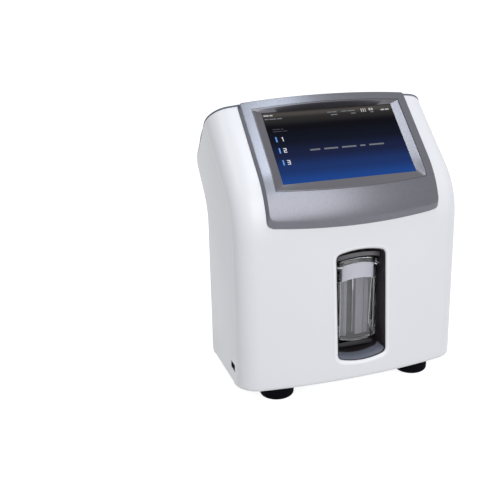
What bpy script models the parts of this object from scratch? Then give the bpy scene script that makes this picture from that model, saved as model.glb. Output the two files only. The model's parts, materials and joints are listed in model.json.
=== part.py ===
"""Bench electrolyte analyser: sloping display, sampler behind a lifting clear cover, reagent drawer.

Metres, +Z up, front towards -Y. Below, Y counts from the lowest point of the front: the frame empty
moves the whole analyser so that its origin lies under the middle of its box.
"""

import math

import bmesh
import bpy
from mathutils import Matrix, Vector

# Unitless fineness of the curved surfaces
bow_steps = 8
corner_steps = 5
rounding_steps = 3
shoulder_steps = 6
bulge_steps = 4
round_steps = 20
bisection_rounds = 40
tangent_step = 0.001
reach_steps = 24

hole_steps = 12
pin_steps = 8
socket_steps = 6
strip_columns = 8

# Between which values of t the bezel lies on the front shell's side view
bezel_low_t, bezel_high_t = 2.2, 4.9

# Screen, which the housing's width and the bezel follow
screen_width, screen_height = 0.1541, 0.0925
screen_side_margin = 0.05395

# Housing, seen from above
half_width = screen_width / 2 + screen_side_margin
bow_radius = 0.680
corner_radius = 0.026
wall = 0.0028
edge_draft_share = 0.40
seam = 0.0003
overrun = 0.010

# Housing, seen from the side
bottom_height = 0.0170
lip_depth = 0.0080
edge_rounding = 0.0050
front_lean_share = 0.030
display_bottom_y = 0.0257
display_bottom_height = 0.2430
display_tilt = math.radians(48.3)
skin_over_display = 0.0030
ridge_margin = 0.0145
ridge_distance = screen_height + ridge_margin
shoulder_rounding = 0.0410
side_shoulder_height = 0.2140
side_shoulder_rounding = 0.0288
side_top_back, side_top_drop = 0.0269, 0.0269

# Rear cover, seen from the side and counted back and down from the ridge: the middle line, then the sides
cover_step = 0.0010
crown_back, crown_drop, crown_rounding = 0.0624, 0.0074, 0.0500
bulge_back, bulge_drop, bulge_rounding = 0.0734, 0.0834, 0.0220
waist_drop, waist_rounding = 0.0410, 0.0220
rear_y = 0.1340
side_rear_forward = 0.0070
side_crown_share = 0.45
side_crown_rounding = 0.0060
side_bulge_forward, side_bulge_rise, side_bulge_rounding = 0.0054, 0.0081, 0.0120
side_waist_drop, side_waist_rounding = 0.0471, 0.0200

# Feet
foot_radius = 0.0175
foot_inset = 0.0470
front_foot_y = 0.0330
rear_foot_y = 0.1010
foot_edge, foot_soft_edge = 0.0030, 0.0010
plate_thickness = 0.0025

# Display, measured along its own slope
glass_border = 0.0030
glass_thickness = 0.0011
module_thickness = 0.0060
carrier_low, carrier_high = 0.0180, 0.0940
carrier_thickness = 0.0020
rim_side, rim_bottom, rim_top = 0.01015, 0.0071, 0.0043
rim_half_width = screen_width / 2 + rim_side
rim_low, rim_high = -rim_bottom, screen_height + rim_top
rim_sag = 0.0064
rim_edge = 0.0007
rim_side_shares = (0.33, 0.67)
bezel_side = 0.0105
bezel_half_width = rim_half_width + bezel_side
bezel_side_draft, bezel_foot_draft = 0.0030, 0.0080
bezel_rise = 0.0058
bezel_foot_height = 0.1975
bezel_foot_lift = 0.0020
bezel_corner = 0.0060

# Sampler window and the recess behind it
window_x = 0.0055
window_half_width = 0.0290
window_low, window_high = 0.0435, 0.1645
window_low_sag, window_high_rise = 0.0050, 0.0045
window_corner = 0.0055
window_bow_shares = (-0.6, -0.2, 0.2, 0.6)
window_bevel = 0.0020
recess_depth = 0.0520
recess_mouth_wall, recess_back_wall = 0.0018, 0.0045
recess_floor = 0.0022
flange_width = 0.0050
flange_thickness = 0.0020
visor_y, visor_radius, visor_thickness = 0.0095, 0.0600, 0.0015
visor_drop, visor_top_gap = 0.0100, 0.0013
visor_low = window_high - visor_drop

# Clear cover, its pin and the probe that swings out behind it
cover_half_width = 0.0225
cover_front_y, cover_radius, cover_thickness = 0.0115, 0.0600, 0.0022
cover_over_window, cover_under_visor = 0.0175, 0.0020
cover_low, cover_high = window_low + cover_over_window, visor_low - cover_under_visor
cover_sag = 0.0020
hinge_back, swing_gap = 0.0090, 0.0005
hinge_y, hinge_height = cover_front_y + hinge_back, visor_low - hinge_back - swing_gap
pin_radius = 0.0015
running_gap = 0.0003
ear_radius, ear_thickness = 0.0036, 0.0025
wing_y, wing_under_hinge = 0.0295, 0.0150
wing_foot, wing_front_foot = 0.0150, 0.0070
band_over_hinge, band_width = 0.0020, 0.0178
band_thickness = 0.0008
hub_length = 0.0080
arm_thickness = 0.0040
arm_edge = 0.0004
probe_y = 0.0300
holder_radius, holder_over_hinge, holder_length = 0.0022, 0.0030, 0.0200
holder_high = hinge_height + holder_over_hinge
holder_low = holder_high - holder_length
holder_taper = 0.0050
needle_radius, needle_over_window, needle_taper = 0.0008, 0.0165, 0.0024
column_half_width, column_front_y, column_radius = 0.0190, 0.0270, 0.0700
column_over_window, column_under_hinge = 0.0150, 0.0040
channel_width, channel_depth, channel_offset = 0.0106, 0.0085, -0.0027
groove_width, groove_depth, groove_offset = 0.0016, 0.0012, 0.0125
tray_half_width, tray_front_y, tray_height, tray_rim = 0.0215, 0.0200, 0.0055, 0.0016

# Cartridge drawer in the right side
drawer_low, drawer_high = 0.0360, 0.1700
drawer_front_y, drawer_rear_y = 0.0460, 0.1200
drawer_corner = 0.0060
fascia_back = 0.0030
grip_low, grip_high, grip_half_length, grip_depth = 0.1420, 0.1600, 0.0190, 0.0110
grip_wall = 0.0016
cradle_reach = 0.0870
cradle_inner_x = half_width - cradle_reach
cradle_floor, cradle_wall, cradle_side_height = 0.0025, 0.0020, 0.0240
cradle_bottom = 0.0392
cradle_margin = 0.0040
cartridge_inset, cartridge_high, cartridge_corner = 0.0170, 0.1480, 0.0040
cartridge_ports = 3
port_radius, port_height, port_spacing = 0.0045, 0.0040, 0.0190
rail_inset = 0.0055
rail_web, rail_ledge = 0.0018, 0.0050
rail_ledge_thickness = 0.0030

# Inner wall and peristaltic pump
inner_wall_gap, inner_wall_thickness = 0.0050, 0.0020
inner_wall_x = cradle_inner_x - inner_wall_gap
inner_wall_front_y, inner_wall_high, wall_socket_gap = 0.0560, 0.1700, 0.0012
pump_y, pump_height = 0.0900, 0.1220
pump_outer_radius, pump_bore_radius, pump_depth, pump_back = 0.0240, 0.0200, 0.0150, 0.0025
pump_mouth_half_angle = math.radians(40)
rotor_radius, rotor_plate = 0.0170, 0.0016
roller_radius, roller_circle, roller_length = 0.0040, 0.0135, 0.0075
rotor_hub_radius = 0.0060
roller_pin_radius = 0.0012
roller_count = 3
shaft_radius = 0.0025
motor_radius, motor_length = 0.0140, 0.0320
motor_boss_radius, motor_boss_length = 0.0055, 0.0015
pump_tube_radius = 0.0007

# Other inner parts
sensor_x, sensor_y, sensor_size = -0.0080, 0.0700, (0.0400, 0.0240, 0.0520)
sensor_wells = 4
sensor_well_radius, sensor_well_depth, sensor_well_pitch = 0.0032, 0.0060, 0.0090
board_y, board_low, board_size = 0.0800, 0.0500, (0.0016, 0.0700, 0.1300)
board_height = board_low + board_size[2] / 2
board_standoff, board_standoff_radius, board_margin = 0.0080, 0.0035, 0.0060

# The board's larger parts: place and size, as shares of the board's width and height and of the standoff
board_part_shares = (
    ((0.0, 0.15), (0.30, 0.16, 0.25)),
    ((-0.25, -0.20), (0.22, 0.10, 0.60)),
    ((0.28, -0.25), (0.20, 0.22, 0.80)),
    ((0.10, 0.38), (0.50, 0.06, 0.90)),
)
supply_inset, supply_y, supply_size = 0.0530, 0.0760, (0.0560, 0.0440, 0.0340)
supply_x = supply_inset - half_width
supply_slots = 6
slot_pitch, slot_width, slot_length, slot_depth = 0.0063, 0.0018, 0.0370, 0.0034

# Rear connections
panel_left_x, panel_right_x, panel_low, panel_high = -0.1000, 0.0300, 0.0340, 0.0700
panel_border, panel_thickness, panel_corner = 0.0040, 0.0020, 0.0025
panel_outer_y = 0.1292
inlet_x, inlet_height, inlet_size, inlet_cavity = -0.0810, 0.0520, (0.0300, 0.0220), (0.0245, 0.0170)
inlet_depth, inlet_cavity_depth, inlet_blade = 0.0200, 0.0150, (0.0020, 0.0080, 0.0040)
inlet_blade_shares = ((-0.29, -0.12), (0, 0.12), (0.29, -0.12))
flange_rim = 0.0020
switch_x, switch_size = -0.0555, (0.0130, 0.0210)
switch_depth, switch_wall, axle_radius = 0.0130, 0.0015, 0.00075
rocker_clearance = 0.0006
rocker_angle = math.radians(7)
rocker_crown, rocker_pivot_depth, rocker_back = 0.0018, 0.0040, 0.0030
network_x, network_size, network_cavity = -0.0300, (0.0160, 0.0140), (0.0118, 0.0080)
host_x, host_size, host_cavity = -0.0080, (0.0142, 0.0080), (0.0124, 0.0050)
serial_x, serial_size = 0.0145, (0.0250, 0.0130)
serial_shell, serial_cavity = (0.0190, 0.0100), (0.0170, 0.0080)
socket_depth, socket_cavity_depth, socket_proud = 0.0140, 0.0090, 0.0020
side_port_margin, side_port_height = 0.0095, 0.0365
vent_count, vent_width, vent_low, vent_high, vent_pitch = 11, 0.0030, 0.1050, 0.1500, 0.0120
vent_corner = 0.0010
screw_inset, screw_low, screw_high = 0.0130, 0.0300, 0.1620
screw_x = half_width - screw_inset
screw_head_radius, screw_head_height, screw_shank_radius, screw_length = 0.0032, 0.0020, 0.0015, 0.0100
screw_crown_radius, screw_crown_height = 0.0024, 0.0007
screw_socket_radius, screw_socket_depth = 0.0013, 0.0010
boss_size, boss_length = 0.0080, 0.0050


def meet(place, direction, other_place, other_direction):
    """The point where two lines of the side view cross."""
    across = direction.cross(other_direction)
    return place + direction * ((other_place - place).cross(other_direction) / across)


slope = Vector((math.sin(display_tilt), math.cos(display_tilt)))
outward = Vector((-slope.y, slope.x))
display_bottom = Vector((display_bottom_y, display_bottom_height))
skin_start = display_bottom + outward * skin_over_display
ridge = skin_start + slope * ridge_distance
front_bottom = Vector((0, bottom_height))
front_direction = Vector((front_lean_share, 1))
shoulder = meet(front_bottom, front_direction, skin_start, slope)
corner_turn = math.asin((half_width - corner_radius) / (bow_radius - corner_radius))
corner_inset = bow_radius - (bow_radius - corner_radius) * math.cos(corner_turn)
side_port_y = corner_inset + side_port_margin


class SideView:
    """A line of the housing seen from the side: corners, each with the length of its rounding."""

    def __init__(self, *corners):
        self.corners = corners
        self.last = 2 * len(corners) - 3
        self.mitres = {}

    def toward(self, corner, other):
        """Where the rounding of a corner meets the straight run towards another corner."""
        place, rounding = self.corners[corner]
        if not rounding:
            return place
        return place + (self.corners[other][0] - place).normalized() * rounding

    def point(self, t):
        """Point at t. Even spans are the straight runs, odd spans round the corners."""
        span = max(0, min(int(t), self.last - 1))
        share = t - span
        if span % 2:
            corner = (span + 1) // 2
            start, end = self.toward(corner, corner - 1), self.toward(corner, corner + 1)
            middle = self.corners[corner][0]
            return start.lerp(middle, share).lerp(middle.lerp(end, share), share)
        corner = span // 2
        return self.toward(corner, corner + 1).lerp(self.toward(corner + 1, corner), share)

    def inward(self, t):
        """Way into the housing at t: square to the line, or along the mitre at an end that has one."""
        if t in self.mitres:
            return self.mitres[t]
        run = self.point(t + tangent_step) - self.point(t - tangent_step)
        return Vector((run.y, -run.x)).normalized()


def mitre(before, after):
    """Give two side views that meet at a corner one way inwards there."""
    one, other = before.inward(before.last), after.inward(0)
    shared = (one + other) / (1 + one.dot(other))
    before.mitres[before.last] = shared
    after.mitres[0] = shared


front_centre = SideView(
    (Vector((lip_depth, bottom_height)), 0),
    (front_bottom, edge_rounding),
    (shoulder, shoulder_rounding),
    (ridge, 0),
)
side_top = ridge + Vector((side_top_back, -side_top_drop))
front_side = SideView(
    (Vector((corner_inset + lip_depth, bottom_height)), 0),
    (Vector((corner_inset, bottom_height)), edge_rounding),
    (Vector((corner_inset, side_shoulder_height)), side_shoulder_rounding),
    (side_top, 0),
)
crown = ridge + Vector((crown_back, -crown_drop))
bulge = ridge + Vector((bulge_back, -bulge_drop))
side_bulge = bulge + Vector((-side_bulge_forward, side_bulge_rise))
side_rear_y = rear_y - side_rear_forward
rear_centre = SideView(
    (ridge + Vector((seam, cover_step)), 0),
    (crown, crown_rounding),
    (bulge, bulge_rounding),
    (Vector((rear_y, bulge.y - waist_drop)), waist_rounding),
    (Vector((rear_y, bottom_height)), edge_rounding),
    (Vector((rear_y - lip_depth, bottom_height)), 0),
)
rear_side = SideView(
    (side_top + Vector((seam, cover_step)), 0),
    (side_top.lerp(side_bulge, side_crown_share), side_crown_rounding),
    (side_bulge, side_bulge_rounding),
    (Vector((side_rear_y, side_bulge.y - side_waist_drop)), side_waist_rounding),
    (Vector((side_rear_y, bottom_height)), edge_rounding),
    (Vector((side_rear_y - lip_depth, bottom_height)), 0),
)
mitre(front_centre, rear_centre)
mitre(front_side, rear_side)


def spans(*counts):
    """Values of t that divide each span in turn into the given count."""
    values = [0.0]
    for span, count in enumerate(counts):
        values += [span + (step + 1) / count for step in range(count)]
    return values


front_rows = spans(1, rounding_steps, 1, shoulder_steps, 1)
rear_rows = spans(1, shoulder_steps, 1, bulge_steps, 1, bulge_steps, 1, rounding_steps, 1)


def plan_point(turn):
    """X, and the share of the corner's inset, where the housing faces this angle from straight ahead."""
    angle = abs(turn)
    if angle < corner_turn:
        x, inset = bow_radius * math.sin(angle), bow_radius * (1 - math.cos(angle))
    else:
        x = half_width - corner_radius + corner_radius * math.sin(angle)
        inset = corner_inset - corner_radius * math.cos(angle)
    return math.copysign(x, turn), inset / corner_inset


def plan_turns():
    """Angles across the whole width, left to right."""
    bow = [corner_turn * (2 * step / bow_steps - 1) for step in range(bow_steps + 1)]
    quarter = math.pi / 2
    shares = [(step + 1) / corner_steps for step in range(corner_steps)]
    corner = [corner_turn + (quarter - corner_turn) * share for share in shares]
    return [-turn for turn in reversed(corner)] + bow + corner


def skin(centre, side, t, turn, depth=0):
    """Point of the housing's skin, or of the face at a depth under it."""
    x, share = plan_point(turn)
    middle = centre.point(t) + centre.inward(t) * depth
    edge = side.point(t) + side.inward(t) * depth * edge_draft_share
    place = middle.lerp(edge, share)
    return Vector((x * (1 - depth / half_width), place.x, place.y))


def raised(t, turn, rise):
    """Point at a height over the front shell's skin."""

    def near(up, across):
        return skin(front_centre, front_side, t + up * tangent_step, turn + across * tangent_step)

    up = near(1, 0) - near(-1, 0)
    across = near(0, 1) - near(0, -1)
    return near(0, 0) + across.cross(up).normalized() * rise


def solve(measure, low, high, wanted):
    """The value between low and high at which a rising measure is as wanted."""
    for _ in range(bisection_rounds):
        middle = (low + high) / 2
        if measure(middle) < wanted:
            low = middle
        else:
            high = middle
    return (low + high) / 2


def turn_at(x):
    """The angle from straight ahead that the housing faces at this X."""
    turn = solve(lambda angle: plan_point(angle)[0], 0, math.pi / 2, abs(x))
    return math.copysign(turn, x)


def over_display(x, along, height):
    """Point from its place along the display's slope and its height over the display."""
    place = display_bottom + slope * along + outward * height
    return Vector((x, place.x, place.y))


def bezel_height(x, along):
    """Height of the bezel's face over the display's plane."""
    turn = turn_at(x)

    def distance(t):
        face = raised(t, turn, bezel_rise)
        return (face.yz - display_bottom).dot(slope)

    face = raised(solve(distance, bezel_low_t, bezel_high_t, along), turn, bezel_rise)
    return (face.yz - display_bottom).dot(outward)


def bezel_foot(turn, rise, draft):
    """Where along the side view an edge of the bezel's drafted foot lies, a little higher at its ends."""
    height = bezel_foot_height + draft + bezel_foot_lift * (plan_point(turn)[0] / bezel_half_width) ** 2
    return solve(lambda t: raised(t, turn, rise).z, bezel_low_t, bezel_high_t, height)


# Where the analyser's middle lies, counted from its front
rear_reach = max(rear_centre.point(t).x for t in spans(1, reach_steps, 1, reach_steps, 1))
front_reach = min(front_centre.point(t).x for t in spans(1, reach_steps))


def empty(name, place, parent=None):
    anchor = bpy.data.objects.new(name, None)
    anchor.location = place
    anchor.parent = parent
    bpy.context.collection.objects.link(anchor)
    return anchor


def finish(name, colour, roughness, metallic=0.0, alpha=1.0):
    material = bpy.data.materials.new(name)
    material.use_nodes = True
    shader = material.node_tree.nodes["Principled BSDF"]
    shader.inputs["Base Color"].default_value = (*colour, 1)
    shader.inputs["Roughness"].default_value = roughness
    shader.inputs["Metallic"].default_value = metallic
    shader.inputs["Alpha"].default_value = alpha
    return material


def part(name, mesh, material, home):
    """Object from a closed bmesh given in the analyser's own coordinates."""
    if home.parent:
        bmesh.ops.translate(mesh, verts=mesh.verts, vec=-home.location)
    bmesh.ops.recalc_face_normals(mesh, faces=mesh.faces)
    if mesh.calc_volume(signed=True) < 0:
        bmesh.ops.reverse_faces(mesh, faces=mesh.faces)
    data = bpy.data.meshes.new(name)
    mesh.to_mesh(data)
    mesh.free()
    data.materials.append(material)
    data.shade_smooth()
    data.set_sharp_from_angle(angle=math.radians(35))
    piece = bpy.data.objects.new(name, data)
    piece.parent = home
    bpy.context.collection.objects.link(piece)
    return piece


def combine(piece, operation, name, mesh):
    """Boolean of a piece with a hidden tool made from a bmesh."""
    tool = part(name, mesh, piece.data.materials[0], piece.parent)
    tool.hide_render = True
    tool.display_type = "WIRE"
    modifier = piece.modifiers.new(name, "BOOLEAN")
    modifier.solver = "EXACT"
    modifier.use_self = True
    modifier.operation = operation
    modifier.object = tool


def cut(piece, name, mesh):
    combine(piece, "DIFFERENCE", name, mesh)


def weld(piece, name, mesh):
    combine(piece, "UNION", name, mesh)


def add_loops(mesh, loops, closed=False):
    """Skin of quads through loops of points, capped at both ends, or joined end to end."""
    rings = [[mesh.verts.new(place) for place in loop] for loop in loops]
    pairs = list(zip(rings, rings[1:]))
    if closed:
        pairs.append((rings[-1], rings[0]))
    for ring, following in pairs:
        for step in range(len(ring)):
            after = (step + 1) % len(ring)
            mesh.faces.new((ring[step], ring[after], following[after], following[step]))
    if not closed:
        mesh.faces.new(rings[0])
        mesh.faces.new(rings[-1])
    return mesh


def looped(loops, closed=False):
    return add_loops(bmesh.new(), loops, closed)


def sheet(outer, inner):
    """Closed mesh between two grids of points."""
    mesh = bmesh.new()
    rows, columns = len(outer), len(outer[0])
    top, bottom = [[[mesh.verts.new(place) for place in row] for row in grid] for grid in (outer, inner)]
    for grid in (top, bottom):
        for near, far in zip(grid, grid[1:]):
            for column in range(columns - 1):
                mesh.faces.new((near[column], near[column + 1], far[column + 1], far[column]))
    border = [(0, column) for column in range(columns - 1)]
    border += [(row, columns - 1) for row in range(rows - 1)]
    border += [(rows - 1, column) for column in range(columns - 1, 0, -1)]
    border += [(row, 0) for row in range(rows - 1, 0, -1)]
    for step, (row, column) in enumerate(border):
        next_row, next_column = border[(step + 1) % len(border)]
        upper = (top[row][column], top[next_row][next_column])
        mesh.faces.new((*upper, bottom[next_row][next_column], bottom[row][column]))
    return mesh


def box_points(low, high):
    """Two loops of a box's corners."""
    flat = [(low[0], low[1]), (high[0], low[1]), (high[0], high[1]), (low[0], high[1])]
    return [[Vector((x, y, z)) for x, y in flat] for z in (low[2], high[2])]


def box(low, high):
    return looped(box_points(low, high))


def centred_box(centre, size):
    half = Vector(size) / 2
    return box(Vector(centre) - half, Vector(centre) + half)


def on_axis(axis, across, up, distance):
    """Point from two coordinates square to an axis and one along it."""
    if axis == "X":
        return Vector((distance, across, up))
    if axis == "Y":
        return Vector((across, distance, up))
    return Vector((across, up, distance))


def add_prism(mesh, outline, axis, low, high):
    return add_loops(mesh, [[on_axis(axis, a, b, distance) for a, b in outline] for distance in (low, high)])


def prism(outline, axis, low, high):
    return add_prism(bmesh.new(), outline, axis, low, high)


def circle(centre, radius, steps=round_steps):
    angles = [math.tau * step / steps for step in range(steps)]
    return [(centre[0] + radius * math.cos(angle), centre[1] + radius * math.sin(angle)) for angle in angles]


def turned(axis, centre, outline, steps=round_steps):
    """Solid of revolution from radii and places along an axis, from one end to the other."""
    loops = []
    for radius, distance in outline:
        loops.append([on_axis(axis, a, b, distance) for a, b in circle(centre, radius, steps)])
    return looped(loops)


def rounded_outline(corners, rounding, steps=rounding_steps):
    """Outline of 2D corners, each marked True if it is rounded."""
    outline = []
    for index, (place, is_rounded) in enumerate(corners):
        if not is_rounded:
            outline.append(place)
            continue
        before = corners[index - 1][0]
        after = corners[(index + 1) % len(corners)][0]
        start = place + (before - place).normalized() * rounding
        end = place + (after - place).normalized() * rounding
        for step in range(steps + 1):
            share = step / steps
            outline.append(start.lerp(place, share).lerp(place.lerp(end, share), share))
    return outline


def rounded_rectangle(low, high, rounding):
    corners = [Vector(low), Vector((high[0], low[1])), Vector(high), Vector((low[0], high[1]))]
    return rounded_outline([(corner, True) for corner in corners], rounding)


def housing_grid(centre, side, rows, depth=0):
    return [[skin(centre, side, t, turn, depth) for turn in plan_turns()] for t in rows]


def window_outline(inset):
    """Outline of the sampler window in X and Z, with its bowed top and bottom, drawn in by an inset."""
    half = window_half_width - inset
    corners = []
    low, high = window_low + inset, window_high - inset
    for direction, edge, sag in ((1, low, -window_low_sag), (-1, high, window_high_rise)):
        corners.append((Vector((-direction * half, edge)), True))
        for share in window_bow_shares:
            corners.append((Vector((direction * share * half, edge + sag * (1 - share * share))), False))
        corners.append((Vector((direction * half, edge)), True))
    outline = rounded_outline(corners, max(window_corner - inset, seam))
    return [(window_x + place.x, place.y) for place in outline]


def window_loop(inset, distance, leaning=True):
    """Window outline as points, at a distance behind the leaning front or at a fixed Y."""
    lean = front_lean_share if leaning else 0
    return [Vector((x, distance + lean * (z - bottom_height), z)) for x, z in window_outline(inset)]


def display_outline(half, low, high, sag):
    """Outline in X and along the display's slope, with its lower edge bowed down."""
    shares = [2 * step / bow_steps - 1 for step in range(bow_steps + 1)]
    outline = [(share * half, low - sag * (1 - share * share)) for share in shares]
    outline += [(half, low + (high - low) * share) for share in rim_side_shares]
    outline += [(-share * half, high) for share in shares]
    outline += [(-half, high - (high - low) * share) for share in rim_side_shares]
    return outline


def rim_outline(grow):
    """Outline of the funnel round the screen."""
    return display_outline(rim_half_width + grow, rim_low - grow, rim_high + grow, rim_sag)


def screen_outline():
    """Outline round the screen with the same points as the rim's."""
    return display_outline(screen_width / 2, 0, screen_height, 0)


def rim_prism(grow):
    """Straight cutter through the bezel and the front shell, square to the display."""
    depth = 3 * overrun
    outline = rim_outline(grow)
    return looped([[over_display(x, along, height) for x, along in outline] for height in (-depth, depth)])


def display_slab(border, low, high):
    """Slab under or over the screen, wider than it by a border."""
    half, top = screen_width / 2 + border, screen_height + border
    flat = [(-half, -border), (half, -border), (half, top), (-half, top)]
    return looped([[over_display(x, along, height) for x, along in flat] for height in (low, high)])


def side_outline(inset):
    """Outline of a side panel in Y and Z: the side lines of the front shell and the rear cover, drawn in."""
    front = [front_side.point(t) + front_side.inward(t) * inset for t in front_rows]
    rear = [rear_side.point(t) + rear_side.inward(t) * inset for t in rear_rows]
    return [(place.x, place.y) for place in front + rear[1:]]


def build_front_shell():
    outer = housing_grid(front_centre, front_side, front_rows)
    inner = housing_grid(front_centre, front_side, front_rows, wall)
    shell = part("front_shell", sheet(outer, inner), shell_white, frame)
    loops = [
        window_loop(-overrun, window_bevel - overrun),
        window_loop(0, window_bevel),
        window_loop(0, window_bevel + overrun),
    ]
    cut(shell, "window_cutter", looped(loops))
    cut(shell, "display_cutter", rim_prism(2 * seam))


def build_side_panel(name, direction):
    loops = []
    for distance, inset in ((half_width, seam), (half_width - wall, seam + wall * edge_draft_share)):
        loops.append([Vector((direction * distance, y, z)) for y, z in side_outline(inset)])
    panel = part(name, looped(loops), shell_white, frame)
    for label, height in (("low", screw_low), ("high", screw_high)):
        weld(panel, f"{name}_boss_{label}", screw_boss(direction, height))
    return panel


def boss_rear_y():
    """Rear end of the screw bosses, just in front of the rear cover's inner face."""
    return side_rear_y - wall + seam


def screw_boss(direction, height):
    outer = direction * (half_width - wall / 2)
    inner = direction * (screw_x - boss_size / 2)
    low = (min(inner, outer), boss_rear_y() - boss_length, height - boss_size / 2)
    high = (max(inner, outer), boss_rear_y(), height + boss_size / 2)
    return box(low, high)


def screw_holes(direction, radius):
    mesh = bmesh.new()
    for height in (screw_low, screw_high):
        outline = circle((direction * screw_x, height), radius, hole_steps)
        add_prism(mesh, outline, "Y", boss_rear_y() - boss_length - overrun, rear_y + overrun)
    return mesh


def build_left_panel():
    panel = build_side_panel("left_side_panel", -1)
    inner = half_width - wall
    for index, (y, z) in enumerate(board_corners()):
        outline = circle((y, z), board_standoff_radius, hole_steps)
        weld(panel, f"board_post_{index}", prism(outline, "X", -inner - wall / 2, -inner + board_standoff))
    cut(panel, "left_screw_holes", screw_holes(-1, screw_shank_radius + seam))
    centre = Vector((side_port_y, side_port_height))
    half = Vector(host_size) / 2 + Vector((seam, seam))
    outline = rounded_rectangle(centre - half, centre + half, seam)
    cut(panel, "side_port_cutter", prism(outline, "X", -half_width - overrun, -half_width + overrun))


def build_right_panel():
    panel = build_side_panel("right_side_panel", 1)
    cut(panel, "right_screw_holes", screw_holes(1, screw_shank_radius + seam))
    outline = drawer_outline(0)
    cut(panel, "drawer_cutter", prism(outline, "X", half_width - wall - overrun, half_width + overrun))


def drawer_outline(inset):
    low = (drawer_front_y + inset, drawer_low + inset)
    high = (drawer_rear_y - inset, drawer_high - inset)
    return rounded_rectangle(low, high, drawer_corner)


def build_rear_cover():
    outer = housing_grid(rear_centre, rear_side, rear_rows)
    inner = housing_grid(rear_centre, rear_side, rear_rows, wall)
    cover = part("rear_cover", sheet(outer, inner), cover_grey, frame)
    outlines = [rounded_rectangle((panel_left_x, panel_low), (panel_right_x, panel_high), panel_corner)]
    for index in range(vent_count):
        x = (index - (vent_count - 1) / 2) * vent_pitch
        low, high = (x - vent_width / 2, vent_low), (x + vent_width / 2, vent_high)
        outlines.append(rounded_rectangle(low, high, vent_corner))
    for direction in (-1, 1):
        for height in (screw_low, screw_high):
            outlines.append(circle((direction * screw_x, height), screw_shank_radius + 2 * seam, hole_steps))
    mesh = bmesh.new()
    for outline in outlines:
        add_prism(mesh, outline, "Y", rear_y - overrun, rear_y + overrun)
    cut(cover, "rear_cutter", mesh)


def build_screws():
    """Pan-head screws through the rear cover into the side panels' bosses."""
    wall_foot = rear_centre.last - 2
    seat = skin(rear_centre, rear_side, wall_foot, turn_at(screw_x)).y
    top = seat + screw_head_height
    outline = [
        (screw_shank_radius, seat - screw_length),
        (screw_shank_radius, seat + seam),
        (screw_head_radius, seat + seam),
        (screw_head_radius, top - screw_crown_height),
        (screw_crown_radius, top),
    ]
    for side_name, direction in (("left", -1), ("right", 1)):
        for level, height in (("lower", screw_low), ("upper", screw_high)):
            name = f"{side_name}_{level}_screw"
            centre = (direction * screw_x, height)
            screw = part(name, turned("Y", centre, outline, hole_steps), steel, frame)
            drive = circle(centre, screw_socket_radius, socket_steps)
            cut(screw, f"{name}_drive", prism(drive, "Y", top - screw_socket_depth, top + overrun))


def build_base_plate():
    """Flat plate on the lips of the front shell and the rear cover."""
    squeeze = 1 - seam / half_width
    outline = []
    for turn in plan_turns():
        place = skin(front_centre, front_side, 1, turn, wall)
        outline.append((place.x * squeeze, place.y + seam))
    for turn in reversed(plan_turns()):
        place = skin(rear_centre, rear_side, rear_centre.last - 1, turn, wall)
        outline.append((place.x * squeeze, place.y - seam))
    low = bottom_height + wall + seam
    part("base_plate", prism(outline, "Z", low, low + plate_thickness), metal_grey, frame)


def build_feet():
    height = bottom_height + wall
    outline = [
        (foot_radius - foot_edge, 0),
        (foot_radius - foot_soft_edge, foot_soft_edge),
        (foot_radius, foot_edge),
        (foot_radius, height - foot_edge),
        (foot_radius - foot_edge, height),
    ]
    for side_name, direction in (("left", -1), ("right", 1)):
        for end, y in (("front", front_foot_y), ("rear", rear_foot_y)):
            centre = (direction * (half_width - foot_inset), y)
            part(f"{end}_{side_name}_foot", turned("Z", centre, outline), rubber_black, frame)


def build_bezel():
    """Bezel that hugs the front shell's skin, with the funnel's opening and rounded lower corners."""
    grids = [
        bezel_grid(bezel_rise, bezel_half_width - bezel_side_draft, bezel_foot_draft),
        bezel_grid(seam, bezel_half_width, 0),
    ]
    mesh = sheet(*grids)
    mesh.verts.ensure_lookup_table()
    last, count = len(grids[0][0]) - 1, len(grids[0]) * len(grids[0][0])
    ends = [{mesh.verts[index], mesh.verts[count + index]} for index in (0, last)]
    corners = [edge for edge in mesh.edges if set(edge.verts) in ends]
    rounding = {"offset": bezel_corner, "segments": rounding_steps, "profile": 0.5, "affect": "EDGES"}
    bmesh.ops.bevel(mesh, geom=corners, **rounding)
    bezel = part("display_bezel", mesh, bezel_metal, frame)
    cut(bezel, "bezel_cutter", rim_prism(seam))


def bezel_grid(rise, half, foot_draft):
    """Points of the bezel's face, or of its back, from the foot to the ridge."""
    slope_low, slope_high = front_centre.last - 1, front_centre.last - 2 * tangent_step
    columns = []
    for step in range(bow_steps + 1):
        turn = turn_at(half * (2 * step / bow_steps - 1))
        foot = bezel_foot(turn, rise, foot_draft)
        values = [foot + (slope_low - foot) * step / shoulder_steps for step in range(shoulder_steps)]
        values += [slope_low, (slope_low + slope_high) / 2, slope_high]
        columns.append([raised(t, turn, rise) for t in values])
    return [list(row) for row in zip(*columns)]


def build_surround():
    """Funnel walls from the bezel's face down to the screen."""
    outer = rim_outline(0)
    edge = rim_outline(-rim_edge)
    inner = screen_outline()
    face = [over_display(x, along, bezel_height(x, along)) for x, along in outer]
    lip = [over_display(x, along, bezel_height(x, along)) for x, along in edge]
    foot = [over_display(x, along, seam) for x, along in inner]
    base = [over_display(x, along, seam) for x, along in outer]
    part("display_surround", looped([face, lip, foot, base], closed=True), surround_grey, frame)


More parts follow.
